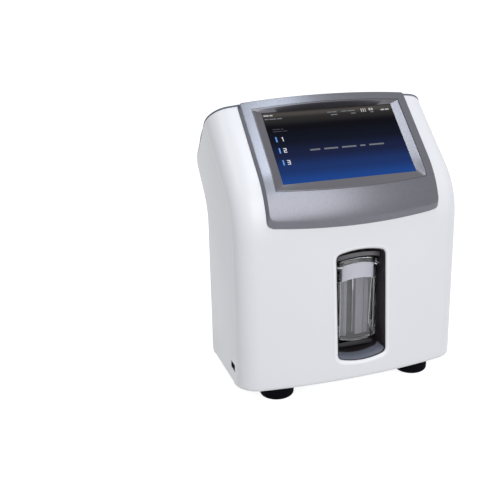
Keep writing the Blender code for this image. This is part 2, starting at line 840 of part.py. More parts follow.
def build_display():
    glass_low = -glass_thickness
    part("touch_glass", display_slab(glass_border, glass_low, 0), glass_black, frame)
    module_low = glass_low - seam - module_thickness
    part("display_module", display_slab(glass_border, module_low, glass_low - seam), metal_grey, frame)
    top = module_low - seam

    def drop(turn):
        inner = skin(front_centre, front_side, front_centre.last, turn, wall)
        return -(inner.yz - display_bottom).dot(outward)

    half = bow_radius * math.sin(solve(drop, 0, corner_turn, -top - 2 * seam))
    flat = [(-half, carrier_low), (half, carrier_low), (half, carrier_high), (-half, carrier_high)]
    heights = (top - carrier_thickness, top)
    loops = [[over_display(x, along, height) for x, along in flat] for height in heights]
    part("display_carrier", looped(loops), metal_grey, frame)


def recess_wall(y):
    """Thickness of the recess's wall at a depth, as it tapers towards its back."""
    share = (y - window_bevel) / (recess_depth - recess_floor - window_bevel)
    return recess_mouth_wall + share * (recess_back_wall - recess_mouth_wall)


def build_liner():
    """Tapering tub behind the window, with a flange against the back of the front shell."""
    bow = (abs(window_x) + window_half_width + flange_width) ** 2 / (2 * bow_radius)
    rim = window_bevel + seam
    flange = wall + bow + seam
    loops = [
        window_loop(recess_back_wall, recess_depth - recess_floor, False),
        window_loop(recess_mouth_wall, rim),
        window_loop(seam, rim),
        window_loop(seam, flange),
        window_loop(-flange_width, flange),
        window_loop(-flange_width, flange + flange_thickness),
        window_loop(seam, flange + flange_thickness),
        window_loop(recess_back_wall - recess_floor, recess_depth, False),
    ]
    liner = part("sampler_liner", looped(loops), liner_grey, frame)
    half = window_half_width + flange_width
    hole = circle((hinge_y, hinge_height), pin_radius + seam, hole_steps)
    cut(liner, "pin_hole_cutter", prism(hole, "X", window_x - half, window_x + half))


def arc_strip(half, front_y, radius, depth, ends_at):
    """Grid of a convex strip; ends_at gives its low and high ends at a share of its half width."""
    grid = []
    for level in (0, 1):
        row = []
        for step in range(strip_columns + 1):
            share = 2 * step / strip_columns - 1
            angle = math.asin(share * half / radius)
            reach = radius - depth
            x = window_x + reach * math.sin(angle)
            y = front_y + radius - reach * math.cos(angle)
            row.append(Vector((x, y, ends_at(share)[level])))
        grid.append(row)
    return grid


def build_visor():
    """Curved band across the top of the recess, over the clear cover."""
    back = visor_y + visor_radius - math.sqrt(visor_radius**2 - window_half_width**2) + visor_thickness
    inset = recess_wall(back) + 2 * seam
    half = window_half_width - inset

    def ends(share):
        return visor_low, window_high - inset - visor_top_gap + window_high_rise * (1 - share * share)

    outer = arc_strip(half, visor_y, visor_radius, 0, ends)
    inner = arc_strip(half, visor_y, visor_radius, visor_thickness, ends)
    part("sampler_visor", sheet(outer, inner), liner_grey, frame)


def build_column():
    """Fixed column behind the cover, with the probe's channel and two grooves in its convex face."""

    def face_y(x):
        return column_front_y + column_radius - math.sqrt(column_radius**2 - x * x)

    def slot(centre, width, depth):
        low, high = centre - width / 2, centre + width / 2
        low_y, high_y = face_y(low), face_y(high)
        return [(low, low_y), (low, low_y + depth), (high, high_y + depth), (high, high_y)]

    places = [(-column_half_width, face_y(column_half_width))]
    for centre, width, depth in (
        (-groove_offset, groove_width, groove_depth),
        (channel_offset, channel_width, channel_depth),
        (groove_offset, groove_width, groove_depth),
    ):
        places += slot(centre, width, depth)
    places.append((column_half_width, face_y(column_half_width)))
    back = recess_depth - recess_floor - seam
    places += [(column_half_width, back), (-column_half_width, back)]
    outline = [(window_x + x, y) for x, y in places]
    low, high = window_low + column_over_window, hinge_height - column_under_hinge
    part("sampler_column", prism(outline, "Z", low, high), column_grey, frame)


def wing_outline():
    """Side wing of the clear cover in Y and Z: round about the pin, then down beside the column."""
    round_top = circle((hinge_y, hinge_height), ear_radius, hole_steps)[: hole_steps // 2 + 1]
    edge_y = cover_front_y + cover_radius - math.sqrt(cover_radius**2 - cover_half_width**2)
    front_y = edge_y + cover_thickness / 2
    foot = [(front_y, cover_low + wing_front_foot), (wing_y, cover_low + wing_foot)]
    return round_top + foot + [(wing_y, hinge_height - wing_under_hinge)]


def build_cover():
    """Clear cover: a convex pane with a wing on each side, which turns on the pin."""

    def ends(share):
        return cover_low - cover_sag * (1 - share * share), cover_high

    outer = arc_strip(cover_half_width, cover_front_y, cover_radius, 0, ends)
    inner = arc_strip(cover_half_width, cover_front_y, cover_radius, cover_thickness, ends)
    cover = part("sampler_cover", sheet(outer, inner), clear_plastic, cover_axis)
    wing_inner = cover_half_width - ear_thickness
    left, right = window_x - cover_half_width, window_x + cover_half_width
    weld(cover, "left_wing", prism(wing_outline(), "X", left, window_x - wing_inner))
    weld(cover, "right_wing", prism(wing_outline(), "X", window_x + wing_inner, right))
    hole = circle((hinge_y, hinge_height), pin_radius + running_gap, hole_steps)
    cut(cover, "ear_hole_cutter", prism(hole, "X", left - overrun, right + overrun))


def build_band():
    """Grey band on the inside of the clear cover."""

    def ends(share):
        high = hinge_height + band_over_hinge
        return high - band_width, high

    depth = cover_thickness + seam
    half = cover_half_width - ear_thickness - 2 * seam
    outer = arc_strip(half, cover_front_y, cover_radius, depth, ends)
    inner = arc_strip(half, cover_front_y, cover_radius, depth + band_thickness, ends)
    part("cover_band", sheet(outer, inner), band_grey, cover_axis)


def build_hinge_pin():
    half = window_half_width - seam
    outline = circle((hinge_y, hinge_height), pin_radius, hole_steps)
    part("cover_hinge_pin", prism(outline, "X", window_x - half, window_x + half), steel, frame)


def build_probe():
    """Arm that turns on the cover's pin, with the needle held behind the cover in the column's channel."""
    low, high = window_x - hub_length / 2, window_x + hub_length / 2
    hub = prism(circle((hinge_y, hinge_height), ear_radius), "X", low, high)
    arm = part("probe_arm", hub, liner_grey, probe_axis)
    web = ear_radius - arm_edge
    outline = [
        (hinge_y, hinge_height - web),
        (probe_y, holder_high - ear_radius),
        (probe_y, holder_high),
        (hinge_y, hinge_height + web),
    ]
    weld(arm, "arm_web", prism(outline, "X", window_x - arm_thickness / 2, window_x + arm_thickness / 2))
    holder = [
        (2 * needle_radius, holder_low),
        (holder_radius, holder_low + holder_taper),
        (holder_radius, holder_high),
    ]
    weld(arm, "needle_holder", turned("Z", (window_x, probe_y), holder, hole_steps))
    hole = circle((hinge_y, hinge_height), pin_radius + running_gap, hole_steps)
    cut(arm, "hub_hole_cutter", prism(hole, "X", low - overrun, high + overrun))
    low = window_low + needle_over_window
    tip = [
        (needle_radius / 2, low),
        (needle_radius, low + needle_taper),
        (needle_radius, holder_low - seam),
    ]
    part("probe_needle", turned("Z", (window_x, probe_y), tip, pin_steps), steel, probe_axis)


def build_drip_tray():
    floor = window_low + recess_wall(recess_depth - recess_floor) + seam
    low = (window_x - tray_half_width, tray_front_y, floor)
    high = (window_x + tray_half_width, recess_depth - recess_floor - seam, floor + tray_height)
    tray = part("sampler_drip_tray", box(low, high), rubber_black, frame)
    rim = Vector((tray_rim, tray_rim, tray_rim))
    pocket_high = Vector((high[0] - tray_rim, high[1] - tray_rim, high[2] + overrun))
    cut(tray, "tray_pocket", box(Vector(low) + rim, pocket_high))


def build_drawer():
    """Cartridge drawer: fascia with a finger cup, cradle and reagent cartridge, which slide out together."""
    inner = half_width - fascia_back
    plate = prism(drawer_outline(seam), "X", inner, half_width)
    fascia = part("drawer_front", plate, shell_white, drawer_axis)
    half = Vector((grip_half_length, (grip_high - grip_low) / 2))
    centre = Vector((drawer_middle_y, (grip_high + grip_low) / 2))
    cup = rounded_rectangle(centre - half, centre + half, drawer_corner)
    grown = Vector((grip_wall, grip_wall))
    casing = rounded_rectangle(centre - half - grown, centre + half + grown, drawer_corner)
    floor = half_width - grip_depth
    weld(fascia, "cup_casing", prism(casing, "X", floor - grip_wall, half_width - fascia_back / 2))
    cut(fascia, "cup_cutter", prism(cup, "X", floor, half_width + overrun))

    outer_x = inner - seam
    low_y, high_y = drawer_front_y + cradle_margin, drawer_rear_y - cradle_margin
    top = cradle_bottom + cradle_side_height
    low_inside, high_inside = low_y + cradle_wall, high_y - cradle_wall
    outline = [
        (low_y, cradle_bottom),
        (high_y, cradle_bottom),
        (high_y, top),
        (high_inside, top),
        (high_inside, cradle_bottom + cradle_floor),
        (low_inside, cradle_bottom + cradle_floor),
        (low_inside, top),
        (low_y, top),
    ]
    part("drawer_cradle", prism(outline, "X", cradle_inner_x, outer_x), metal_grey, drawer_axis)

    bottom = cradle_bottom + cradle_floor + seam
    cartridge_outer_x = half_width - cartridge_inset
    low, high = (cradle_inner_x + cradle_wall, low_inside + seam), (cartridge_outer_x, high_inside - seam)
    plan = rounded_rectangle(low, high, cartridge_corner)
    body = prism(plan, "Z", bottom, cartridge_high)
    cartridge = part("reagent_cartridge", body, cartridge_white, drawer_axis)
    port_x = (cradle_inner_x + cartridge_outer_x) / 2
    for index in range(cartridge_ports):
        centre = (port_x, drawer_middle_y + (index - (cartridge_ports - 1) / 2) * port_spacing)
        rim = circle(centre, port_radius, hole_steps)
        port = prism(rim, "Z", cartridge_high - port_height, cartridge_high + port_height)
        weld(cartridge, f"port_{index}", port)


def build_rails():
    """Two rails on the base plate that carry the cradle's floor and guide its walls."""
    foot = bottom_height + wall + plate_thickness + 2 * seam
    ledge_top = cradle_bottom - seam
    guide_top = ledge_top + rail_ledge_thickness
    for name, edge, direction in (
        ("front_drawer_rail", drawer_front_y + cradle_margin, 1),
        ("rear_drawer_rail", drawer_rear_y - cradle_margin, -1),
    ):
        web_inner = edge - direction * seam
        web_outer = web_inner - direction * rail_web
        ledge = web_inner + direction * rail_ledge
        outline = [
            (web_outer, foot),
            (ledge, foot),
            (ledge, foot + rail_web),
            (web_inner, foot + rail_web),
            (web_inner, ledge_top - rail_ledge_thickness),
            (ledge, ledge_top - rail_ledge_thickness),
            (ledge, ledge_top),
            (web_inner, ledge_top),
            (web_inner, guide_top),
            (web_outer, guide_top),
        ]
        rail = prism(outline, "X", inner_wall_x + inner_wall_thickness, half_width - rail_inset)
        part(name, rail, steel, frame)


def build_inner_wall():
    foot = bottom_height + wall + plate_thickness + 2 * seam
    low = (inner_wall_x - inner_wall_thickness / 2, inner_wall_front_y, foot)
    rear_edge = panel_outer_y + socket_proud - socket_depth - wall_socket_gap
    high = (inner_wall_x + inner_wall_thickness / 2, rear_edge, inner_wall_high)
    part("inner_wall", box(low, high), metal_grey, frame)


def build_pump():
    """Peristaltic pump on the inner wall: horseshoe housing, rotor with rollers, tube and motor."""
    mouth = inner_wall_x - inner_wall_thickness / 2 - seam
    back = mouth - pump_depth
    centre = Vector((pump_y, pump_height))
    start = -math.pi / 2 + pump_mouth_half_angle
    sweep = math.tau - 2 * pump_mouth_half_angle
    angles = [start + sweep * step / round_steps for step in range(round_steps + 1)]
    outer = [centre + pump_outer_radius * Vector((math.cos(angle), math.sin(angle))) for angle in angles]
    inner = [centre + pump_bore_radius * Vector((math.cos(angle), math.sin(angle))) for angle in angles]
    ring = prism(outer + inner[::-1], "X", back + pump_back / 2, mouth)
    housing = part("pump_housing", ring, liner_grey, frame)
    weld(housing, "pump_back", prism(circle(centre, pump_outer_radius), "X", back, back + pump_back))
    hole = circle(centre, motor_boss_radius, hole_steps)
    cut(housing, "shaft_hole", prism(hole, "X", back - overrun, back + pump_back + seam))

    low = back + pump_back + 3 * seam
    high = low + 2 * rotor_plate + roller_length
    spool = [
        (rotor_radius, low),
        (rotor_radius, low + rotor_plate),
        (rotor_hub_radius, low + rotor_plate),
        (rotor_hub_radius, high - rotor_plate),
        (rotor_radius, high - rotor_plate),
        (rotor_radius, high),
    ]
    rotor = part("pump_rotor", turned("X", centre, spool), column_grey, rotor_axis)
    bore = circle(centre, shaft_radius + seam, hole_steps)
    cut(rotor, "rotor_bore", prism(bore, "X", low - overrun, high + overrun))
    for index in range(roller_count):
        angle = math.tau * index / roller_count + math.pi / 2
        place = centre + roller_circle * Vector((math.cos(angle), math.sin(angle)))
        pin = circle(place, roller_pin_radius, pin_steps)
        weld(rotor, f"roller_pin_{index}", prism(pin, "X", low + rotor_plate / 2, high - rotor_plate / 2))
        rim = circle(place, roller_radius, hole_steps)
        roller = prism(rim, "X", low + rotor_plate + seam, high - rotor_plate - seam)
        piece = part(f"pump_roller_{index + 1}", roller, steel, rotor_axis)
        bore = prism(circle(place, roller_pin_radius + seam, pin_steps), "X", low, high)
        cut(piece, f"roller_bore_{index}", bore)

    motor_face = back - seam
    shaft = [
        (motor_radius, motor_face - motor_length),
        (motor_radius, motor_face),
        (motor_boss_radius - seam, motor_face),
        (motor_boss_radius - seam, motor_face + motor_boss_length),
        (shaft_radius, motor_face + motor_boss_length),
        (shaft_radius, high),
    ]
    part("pump_motor", turned("X", centre, shaft), metal_grey, frame)
    build_pump_tube(centre, (low + high) / 2)


def build_pump_tube(centre, x):
    """Tube squeezed between the rollers and the horseshoe, with both ends hanging out of its mouth."""
    radius = pump_bore_radius - pump_tube_radius - seam
    start = -math.pi / 2 + pump_mouth_half_angle
    sweep = math.tau - 2 * pump_mouth_half_angle
    path = []
    for step in range(round_steps + 1):
        angle = start + sweep * step / round_steps
        path.append(centre + radius * Vector((math.cos(angle), math.sin(angle))))
    drop = Vector((0, -pump_bore_radius / 2))
    path = [path[0] + drop] + path + [path[-1] + drop]
    curve = bpy.data.curves.new("pump_tube", "CURVE")
    curve.dimensions = "3D"
    curve.bevel_depth = pump_tube_radius
    curve.bevel_resolution = 1
    curve.use_fill_caps = True
    spline = curve.splines.new("POLY")
    spline.points.add(len(path) - 1)
    for point, place in zip(spline.points, path):
        point.co = (x, place.x, place.y, 1)
    curve.materials.append(clear_plastic)
    tube = bpy.data.objects.new("pump_tube", curve)
    tube.parent = frame
    bpy.context.collection.objects.link(tube)


def board_corners():
    half_y, half_z = board_size[1] / 2 - board_margin, board_size[2] / 2 - board_margin
    return [(board_y + a * half_y, board_height + b * half_z) for a in (-1, 1) for b in (-1, 1)]


def build_board():
    """Main board on the left panel's posts, with its larger parts."""
    outer_x = -(half_width - wall) + board_standoff + seam
    x = outer_x + board_size[0] / 2
    board = part("main_board", centred_box((x, board_y, board_height), board_size), board_green, frame)
    top = outer_x + board_size[0]
    for index, (place_shares, size_shares) in enumerate(board_part_shares):
        width, height = board_size[1] * size_shares[0], board_size[2] * size_shares[1]
        rise = board_standoff * size_shares[2]
        low_y = board_y + place_shares[0] * board_size[1] - width / 2
        low_z = board_height + place_shares[1] * board_size[2] - height / 2
        block = box((x, low_y, low_z), (top + rise, low_y + width, low_z + height))
        weld(board, f"board_part_{index}", block)


def build_power_supply():
    floor = bottom_height + wall + plate_thickness + 2 * seam
    centre = (supply_x, supply_y, floor + supply_size[2] / 2)
    supply = part("power_supply", centred_box(centre, supply_size), metal_grey, frame)
    top = floor + supply_size[2]
    mesh = bmesh.new()
    for index in range(supply_slots):
        y = supply_y + (index - (supply_slots - 1) / 2) * slot_pitch
        low = (supply_x - slot_length / 2, y - slot_width / 2, top - slot_depth)
        high = (supply_x + slot_length / 2, y + slot_width / 2, top + overrun)
        add_loops(mesh, box_points(low, high))
    cut(supply, "supply_slot_cutter", mesh)


def build_sensor_module():
    floor = bottom_height + wall + plate_thickness + 2 * seam
    centre = (sensor_x, sensor_y, floor + sensor_size[2] / 2)
    sensor = part("sensor_module", centred_box(centre, sensor_size), cartridge_white, frame)
    top = floor + sensor_size[2]
    mesh = bmesh.new()
    for index in range(sensor_wells):
        x = sensor_x + (index - (sensor_wells - 1) / 2) * sensor_well_pitch
        well = circle((x, sensor_y), sensor_well_radius, hole_steps)
        add_prism(mesh, well, "Z", top - sensor_well_depth, top + overrun)
    cut(sensor, "sensor_well_cutter", mesh)


def build_rear_panel():
    """Flat plate behind the opening of the rear cover, with a hole for each connector."""
    low = (panel_left_x - panel_border, panel_low - panel_border)
    high = (panel_right_x + panel_border, panel_high + panel_border)
    outline = rounded_rectangle(low, high, panel_corner)
    plate = prism(outline, "Y", panel_outer_y - panel_thickness, panel_outer_y)
    panel = part("rear_panel", plate, metal_grey, frame)
    mesh = bmesh.new()
    for x, size in (
        (inlet_x, inlet_size),
        (switch_x, switch_size),
        (network_x, network_size),
        (host_x, host_size),
        (serial_x, serial_shell),
    ):
        corners = socket_box(x, size, panel_outer_y - overrun, panel_outer_y + overrun, seam)
        add_loops(mesh, box_points(*corners))
    cut(panel, "panel_holes", mesh)


def socket_box(x, size, low_y, high_y, grow=0):
    """Opposite corners of a connector's box at the height of the connectors."""
    low = (x - size[0] / 2 - grow, low_y, inlet_height - size[1] / 2 - grow)
    high = (x + size[0] / 2 + grow, high_y, inlet_height + size[1] / 2 + grow)
    return low, high


def build_sockets():
    face = panel_outer_y + socket_proud
    hidden = panel_outer_y - panel_thickness - seam
    block = box(*socket_box(inlet_x, inlet_size, face - inlet_depth, face))
    inlet = part("power_inlet", block, rubber_black, frame)
    flange = box(*socket_box(inlet_x, inlet_size, hidden - flange_rim, hidden, flange_rim))
    weld(inlet, "inlet_flange", flange)
    mouth = box(*socket_box(inlet_x, inlet_cavity, face - inlet_cavity_depth, face + overrun))
    cut(inlet, "inlet_mouth", mouth)
    for index, (share_x, share_z) in enumerate(inlet_blade_shares):
        x = inlet_x + share_x * inlet_cavity[0]
        z = inlet_height + share_z * inlet_cavity[1]
        y = face - inlet_cavity_depth + inlet_blade[1] / 2 - seam
        weld(inlet, f"inlet_blade_{index}", centred_box((x, y, z), inlet_blade))

    for name, x, size, cavity in (
        ("network_socket", network_x, network_size, network_cavity),
        ("rear_usb_socket", host_x, host_size, host_cavity),
    ):
        socket = part(name, box(*socket_box(x, size, face - socket_depth, face)), steel, frame)
        weld(socket, f"{name}_flange", box(*socket_box(x, size, hidden - flange_rim, hidden, flange_rim / 2)))
        mouth = box(*socket_box(x, cavity, face - socket_cavity_depth, face + overrun))
        cut(socket, f"{name}_mouth", mouth)

    shell = box(*socket_box(serial_x, serial_shell, hidden - flange_rim / 2, face))
    serial = part("serial_socket", shell, steel, frame)
    weld(serial, "serial_body", box(*socket_box(serial_x, serial_size, face - socket_depth, hidden)))
    mouth = box(*socket_box(serial_x, serial_cavity, face - socket_cavity_depth / 2, face + overrun))
    cut(serial, "serial_mouth", mouth)


def build_switch():
    """Rocker switch: a well in the rear panel and a rocker that tips about its middle."""
    face = panel_outer_y + socket_proud
    hidden = panel_outer_y - panel_thickness - seam
    block = box(*socket_box(switch_x, switch_size, face - switch_depth, face))
    well = part("switch_well", block, rubber_black, frame)
    flange = box(*socket_box(switch_x, switch_size, hidden - flange_rim, hidden, flange_rim / 2))
    weld(well, "switch_flange", flange)
    inner = (switch_size[0] - 2 * switch_wall, switch_size[1] - 2 * switch_wall)
    mouth = box(*socket_box(switch_x, inner, face - switch_depth + switch_wall, face + overrun))
    cut(well, "well_mouth", mouth)
    axle = circle((rocker_pivot.y, rocker_pivot.z), axle_radius, pin_steps)
    reach = switch_size[0] / 2 - switch_wall / 2
    weld(well, "rocker_axle", prism(axle, "X", switch_x - reach, switch_x + reach))

    half_z = inner[1] / 2 - rocker_clearance
    half_x = inner[0] / 2 - rocker_clearance
    outline = [
        (rocker_crown, -half_z),
        (0, 0),
        (rocker_crown, half_z),
        (-rocker_pivot_depth / 2, half_z),
        (-rocker_pivot_depth - rocker_back, half_z / 3),
        (-rocker_pivot_depth - rocker_back, -half_z / 3),
        (-rocker_pivot_depth / 2, -half_z),
    ]
    tip = Matrix.Rotation(-rocker_angle, 2)
    places = []
    for y, z in outline:
        place = tip @ Vector((y + rocker_pivot_depth, z))
        places.append((rocker_pivot.y + place.x, rocker_pivot.z + place.y))
    block = prism(places, "X", switch_x - half_x, switch_x + half_x)
    rocker = part("power_rocker", block, rubber_black, rocker_axis)
    bore = circle((rocker_pivot.y, rocker_pivot.z), axle_radius + running_gap, hole_steps)
    cut(rocker, "rocker_bore", prism(bore, "X", switch_x - half_x - overrun, switch_x + half_x + overrun))


def build_side_socket():
    """Host port low on the left side."""
    face = -half_width + seam
    half, cavity = Vector(host_size) / 2, Vector(host_cavity) / 2
    centre = Vector((side_port_y, side_port_height))
    flat = [centre - half, centre + half]
    low, high = (face, flat[0].x, flat[0].y), (face + socket_depth, flat[1].x, flat[1].y)
    socket = part("side_usb_socket", box(low, high), steel, frame)
    inner = -half_width + wall + seam
    rim = flange_rim / 2
    flange = box((inner, low[1] - rim, low[2] - rim), (inner + flange_rim, high[1] + rim, high[2] + rim))
    weld(socket, "side_socket_flange", flange)
    hole = [centre - cavity, centre + cavity]
    low, high = (face - overrun, hole[0].x, hole[0].y), (face + socket_cavity_depth, hole[1].x, hole[1].y)
    cut(socket, "side_socket_cavity", box(low, high))


for old in list(bpy.data.objects):
    bpy.data.objects.remove(old, do_unlink=True)

shell_white = finish("shell_white", (0.86, 0.88, 0.91), 0.32)
cover_grey = finish("cover_grey", (0.16, 0.18, 0.22), 0.40)
bezel_metal = finish("bezel_metal", (0.40, 0.40, 0.43), 0.35, 0.6)
surround_grey = finish("surround_grey", (0.28, 0.27, 0.29), 0.35, 0.4)
glass_black = finish("glass_black", (0.02, 0.03, 0.06), 0.08)
liner_grey = finish("liner_grey", (0.07, 0.06, 0.07), 0.40)
column_grey = finish("column_grey", (0.30, 0.30, 0.33), 0.45)
band_grey = finish("band_grey", (0.55, 0.55, 0.60), 0.50)
clear_plastic = finish("clear_plastic", (0.85, 0.88, 0.92), 0.05, 0.0, 0.3)
steel = finish("steel", (0.60, 0.60, 0.62), 0.25, 1.0)
metal_grey = finish("metal_grey", (0.45, 0.46, 0.48), 0.40, 0.8)
rubber_black = finish("rubber_black", (0.02, 0.02, 0.02), 0.70)
cartridge_white = finish("cartridge_white", (0.80, 0.81, 0.83), 0.45)
board_green = finish("board_green", (0.04, 0.22, 0.12), 0.50)

rocker_pivot = Vector((switch_x, panel_outer_y + socket_proud - rocker_pivot_depth, inlet_height))
frame = empty("analyzer_frame", (0, -(rear_reach + front_reach) / 2, 0))
cover_axis = empty("sampler_cover_axis", (window_x, hinge_y, hinge_height), frame)
probe_axis = empty("probe_axis", (window_x, hinge_y, hinge_height), frame)
drawer_middle_y = (drawer_front_y + drawer_rear_y) / 2
drawer_axis = empty("drawer_axis", (cradle_inner_x, drawer_middle_y, cradle_bottom), frame)
rotor_axis = empty("rotor_axis", (inner_wall_x - pump_depth, pump_y, pump_height), frame)
rocker_axis = empty("rocker_axis", rocker_pivot, frame)

build_front_shell()
build_left_panel()
build_right_panel()
build_rear_cover()
build_screws()
build_base_plate()
build_feet()
build_bezel()
build_surround()
build_display()
build_liner()
build_visor()
build_column()
build_cover()
build_band()
build_hinge_pin()
build_probe()
build_drip_tray()
build_drawer()
build_rails()
build_inner_wall()
build_pump()
build_board()
build_power_supply()
build_sensor_module()
build_rear_panel()
build_sockets()
build_switch()
build_side_socket()
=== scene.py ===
import json
import math

import bmesh
import bpy
from mathutils import Matrix, Vector


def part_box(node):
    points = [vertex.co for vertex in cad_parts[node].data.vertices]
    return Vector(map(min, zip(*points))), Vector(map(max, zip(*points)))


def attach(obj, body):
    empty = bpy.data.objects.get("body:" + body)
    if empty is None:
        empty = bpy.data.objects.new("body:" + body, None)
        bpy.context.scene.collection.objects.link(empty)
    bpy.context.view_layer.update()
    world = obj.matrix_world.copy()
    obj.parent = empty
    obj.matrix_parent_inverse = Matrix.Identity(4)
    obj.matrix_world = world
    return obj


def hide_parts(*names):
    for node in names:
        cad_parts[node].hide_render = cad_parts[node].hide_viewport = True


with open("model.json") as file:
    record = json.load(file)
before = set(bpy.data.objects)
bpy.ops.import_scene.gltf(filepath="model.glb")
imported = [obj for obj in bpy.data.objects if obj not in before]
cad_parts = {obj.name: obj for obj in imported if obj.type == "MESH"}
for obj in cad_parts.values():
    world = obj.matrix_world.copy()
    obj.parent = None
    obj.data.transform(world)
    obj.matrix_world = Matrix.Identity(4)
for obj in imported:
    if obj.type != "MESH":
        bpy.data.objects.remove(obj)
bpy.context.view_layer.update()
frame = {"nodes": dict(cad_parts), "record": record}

# Bench electrolyte analyser: finer shells, display and sampler over the imported frame, with their materials.
# Metres, +Z up, front towards -Y. Below, Y counts from the lowest point of the front, as in the solids' own
# coordinates.

# Unitless fineness of the curved surfaces
bow_steps = 72
corner_steps = 14
rounding_steps = 8
slope_steps, crown_rows = 30, 4
straight_steps = 80
bulge_steps = 12
lip_rows = 4
lip_steps = 9
round_steps = 64
small_round_steps = 32
strip_columns = 40
rim_steps = 30
bezel_corner_steps = 10
face_steps = 12
bisection_rounds = 36
tangent_step = 0.001

# Between which values of t the bezel lies on the front shell's side view
bezel_low_t, bezel_high_t = 2.2, 4.9

# Screen, which the housing's width and the bezel follow
screen_width, screen_height = 0.1541, 0.0925
screen_side_margin = 0.05395

# Housing, seen from above
half_width = screen_width / 2 + screen_side_margin
bow_radius = 0.680
corner_radius = 0.026
wall = 0.0028
edge_draft_share = 0.40
seam = 0.0003
overrun = 0.010
edge_softness = 0.0005

# Housing, seen from the side
bottom_height = 0.0170
lip_depth = 0.0080
edge_rounding = 0.0050
front_lean_share = 0.030
display_bottom = Vector((0.0257, 0.2430))
display_tilt = math.radians(48.3)
skin_over_display = 0.0030
ridge_margin = 0.0145
ridge_distance = screen_height + ridge_margin
shoulder_rounding = 0.0410
side_shoulder_height = 0.2140
side_shoulder_rounding = 0.0288
side_top_back, side_top_drop = 0.0269, 0.0269

# Rear cover, counted back and down from the ridge
cover_step = 0.0020
crown_back, crown_drop, crown_rounding = 0.0624, 0.0074, 0.0500
bulge_back, bulge_drop, bulge_rounding = 0.0734, 0.0834, 0.0220
waist_drop, waist_rounding = 0.0410, 0.0220
rear_y = 0.1340
side_rear_forward = 0.0070
side_crown_share = 0.45
side_crown_rounding = 0.0060
side_bulge_forward, side_bulge_rise, side_bulge_rounding = 0.0054, 0.0081, 0.0120
side_waist_drop, side_waist_rounding = 0.0471, 0.0200
vent_count, vent_width, vent_low, vent_high, vent_pitch = 11, 0.0030, 0.1050, 0.1500, 0.0120
vent_corner = 0.0012
panel_left_x, panel_right_x, panel_low, panel_high = -0.1000, 0.0300, 0.0340, 0.0700
panel_corner = 0.0025
screw_inset, screw_low, screw_high = 0.0130, 0.0300, 0.1620
screw_x = half_width - screw_inset
screw_shank_radius = 0.0015
boss_size, boss_length = 0.0080, 0.0050

# Feet
foot_radius = 0.0190
foot_edge = 0.0030

# Display, measured along its own slope. The rim's roll is in shares of its edge: inset and drop.
display_sides = ("bottom", "right", "top", "left")
glass_border, glass_thickness = 0.0030, 0.0011
rim_side, rim_bottom, rim_top = 0.01015, 0.0071, 0.0043
rim_half_width = screen_width / 2 + rim_side
rim_low, rim_high = -rim_bottom, screen_height + rim_top
rim_sag = 0.0064
rim_edge, rim_gap = 0.0007, 0.0001
rim_roll = ((1 / 3, 1 / 8), (1, 0), (2, 1 / 3))
bezel_side = 0.0122
bezel_half_width = rim_half_width + bezel_side
bezel_side_draft, bezel_foot_draft = 0.0026, 0.0080
bezel_rise = 0.0058
bezel_foot_height = 0.1975
bezel_foot_lift = 0.0048
bezel_corner = 0.0060
bezel_top_corner = 0.0022
bezel_corner_reach_share = 0.06
bezel_edge_share = 0.10
face_edge_share, face_edge_rows = 0.07, (0.15, 0.5, 1)

# Sampler window, the recess behind it and the visor
window_x = 0.0055
window_half_width = 0.0290
window_low, window_high = 0.0435, 0.1645
window_low_sag, window_high_rise = 0.0050, 0.0045
window_corner = 0.0055
window_lean = 0.018
window_bevel = 0.0020
lip_width, lip_turn = 0.0038, math.radians(60)
recess_depth = 0.0520
recess_mouth_wall, recess_back_wall = 0.0018, 0.0045
recess_floor = 0.0022
flange_width, flange_thickness = 0.0050, 0.0020
visor_y, visor_radius, visor_thickness = 0.0095, 0.0600, 0.0015
visor_drop, visor_top_gap = 0.0100, 0.0013
visor_low = window_high - visor_drop

# Clear cover and what lies behind it
cover_half_width = 0.0225
cover_front_y, cover_radius, cover_thickness = 0.0115, 0.0600, 0.0022
cover_over_window, cover_under_visor = 0.0175, 0.0020
cover_low, cover_high = window_low + cover_over_window, visor_low - cover_under_visor
cover_sag = 0.0020
hinge_back, swing_gap = 0.0090, 0.0005
hinge_y, hinge_height = cover_front_y + hinge_back, visor_low - hinge_back - swing_gap
pin_radius = 0.0015
running_gap = 0.0003
ear_radius, ear_thickness = 0.0036, 0.0025
wing_y, wing_under_hinge = 0.0295, 0.0150
wing_foot, wing_front_foot = 0.0085, 0.0025
band_over_hinge, band_width = 0.0020, 0.0178
band_thickness = 0.0008
column_half_width, column_front_y, column_radius = 0.0190, 0.0270, 0.0700
column_over_window, column_under_hinge = 0.0150, 0.0040
channel_width, channel_depth, channel_offset = 0.0106, 0.0085, -0.0027
groove_width, groove_depth, groove_offset = 0.0016, 0.0012, 0.0125
probe_y, holder_over_hinge, holder_length = 0.0300, 0.0030, 0.0200
holder_low = hinge_height + holder_over_hinge - holder_length
needle_over_window, needle_tip, needle_thin = 0.0165, 0.0002, 0.0003
sleeve_radius, sleeve_low, sleeve_taper = 0.0011, 0.1120, 0.0020
sill_thickness, sill_gap = 0.0006, 0.0003
sill_back_y = 0.0165

# Painted highlights: light rolled edges and frames
highlight_rise, highlight_sink = 0.00015, 0.0003
edge_highlight_width = 0.0025
highlight_line, highlight_thickness, highlight_corner = 0.0008, 0.0003, 0.0010
highlight_top_drop, highlight_back_drop, highlight_back_share = 0.0150, 0.0190, 0.55
latch_low, latch_high, latch_depth = 0.0070, 0.0145, 0.0065

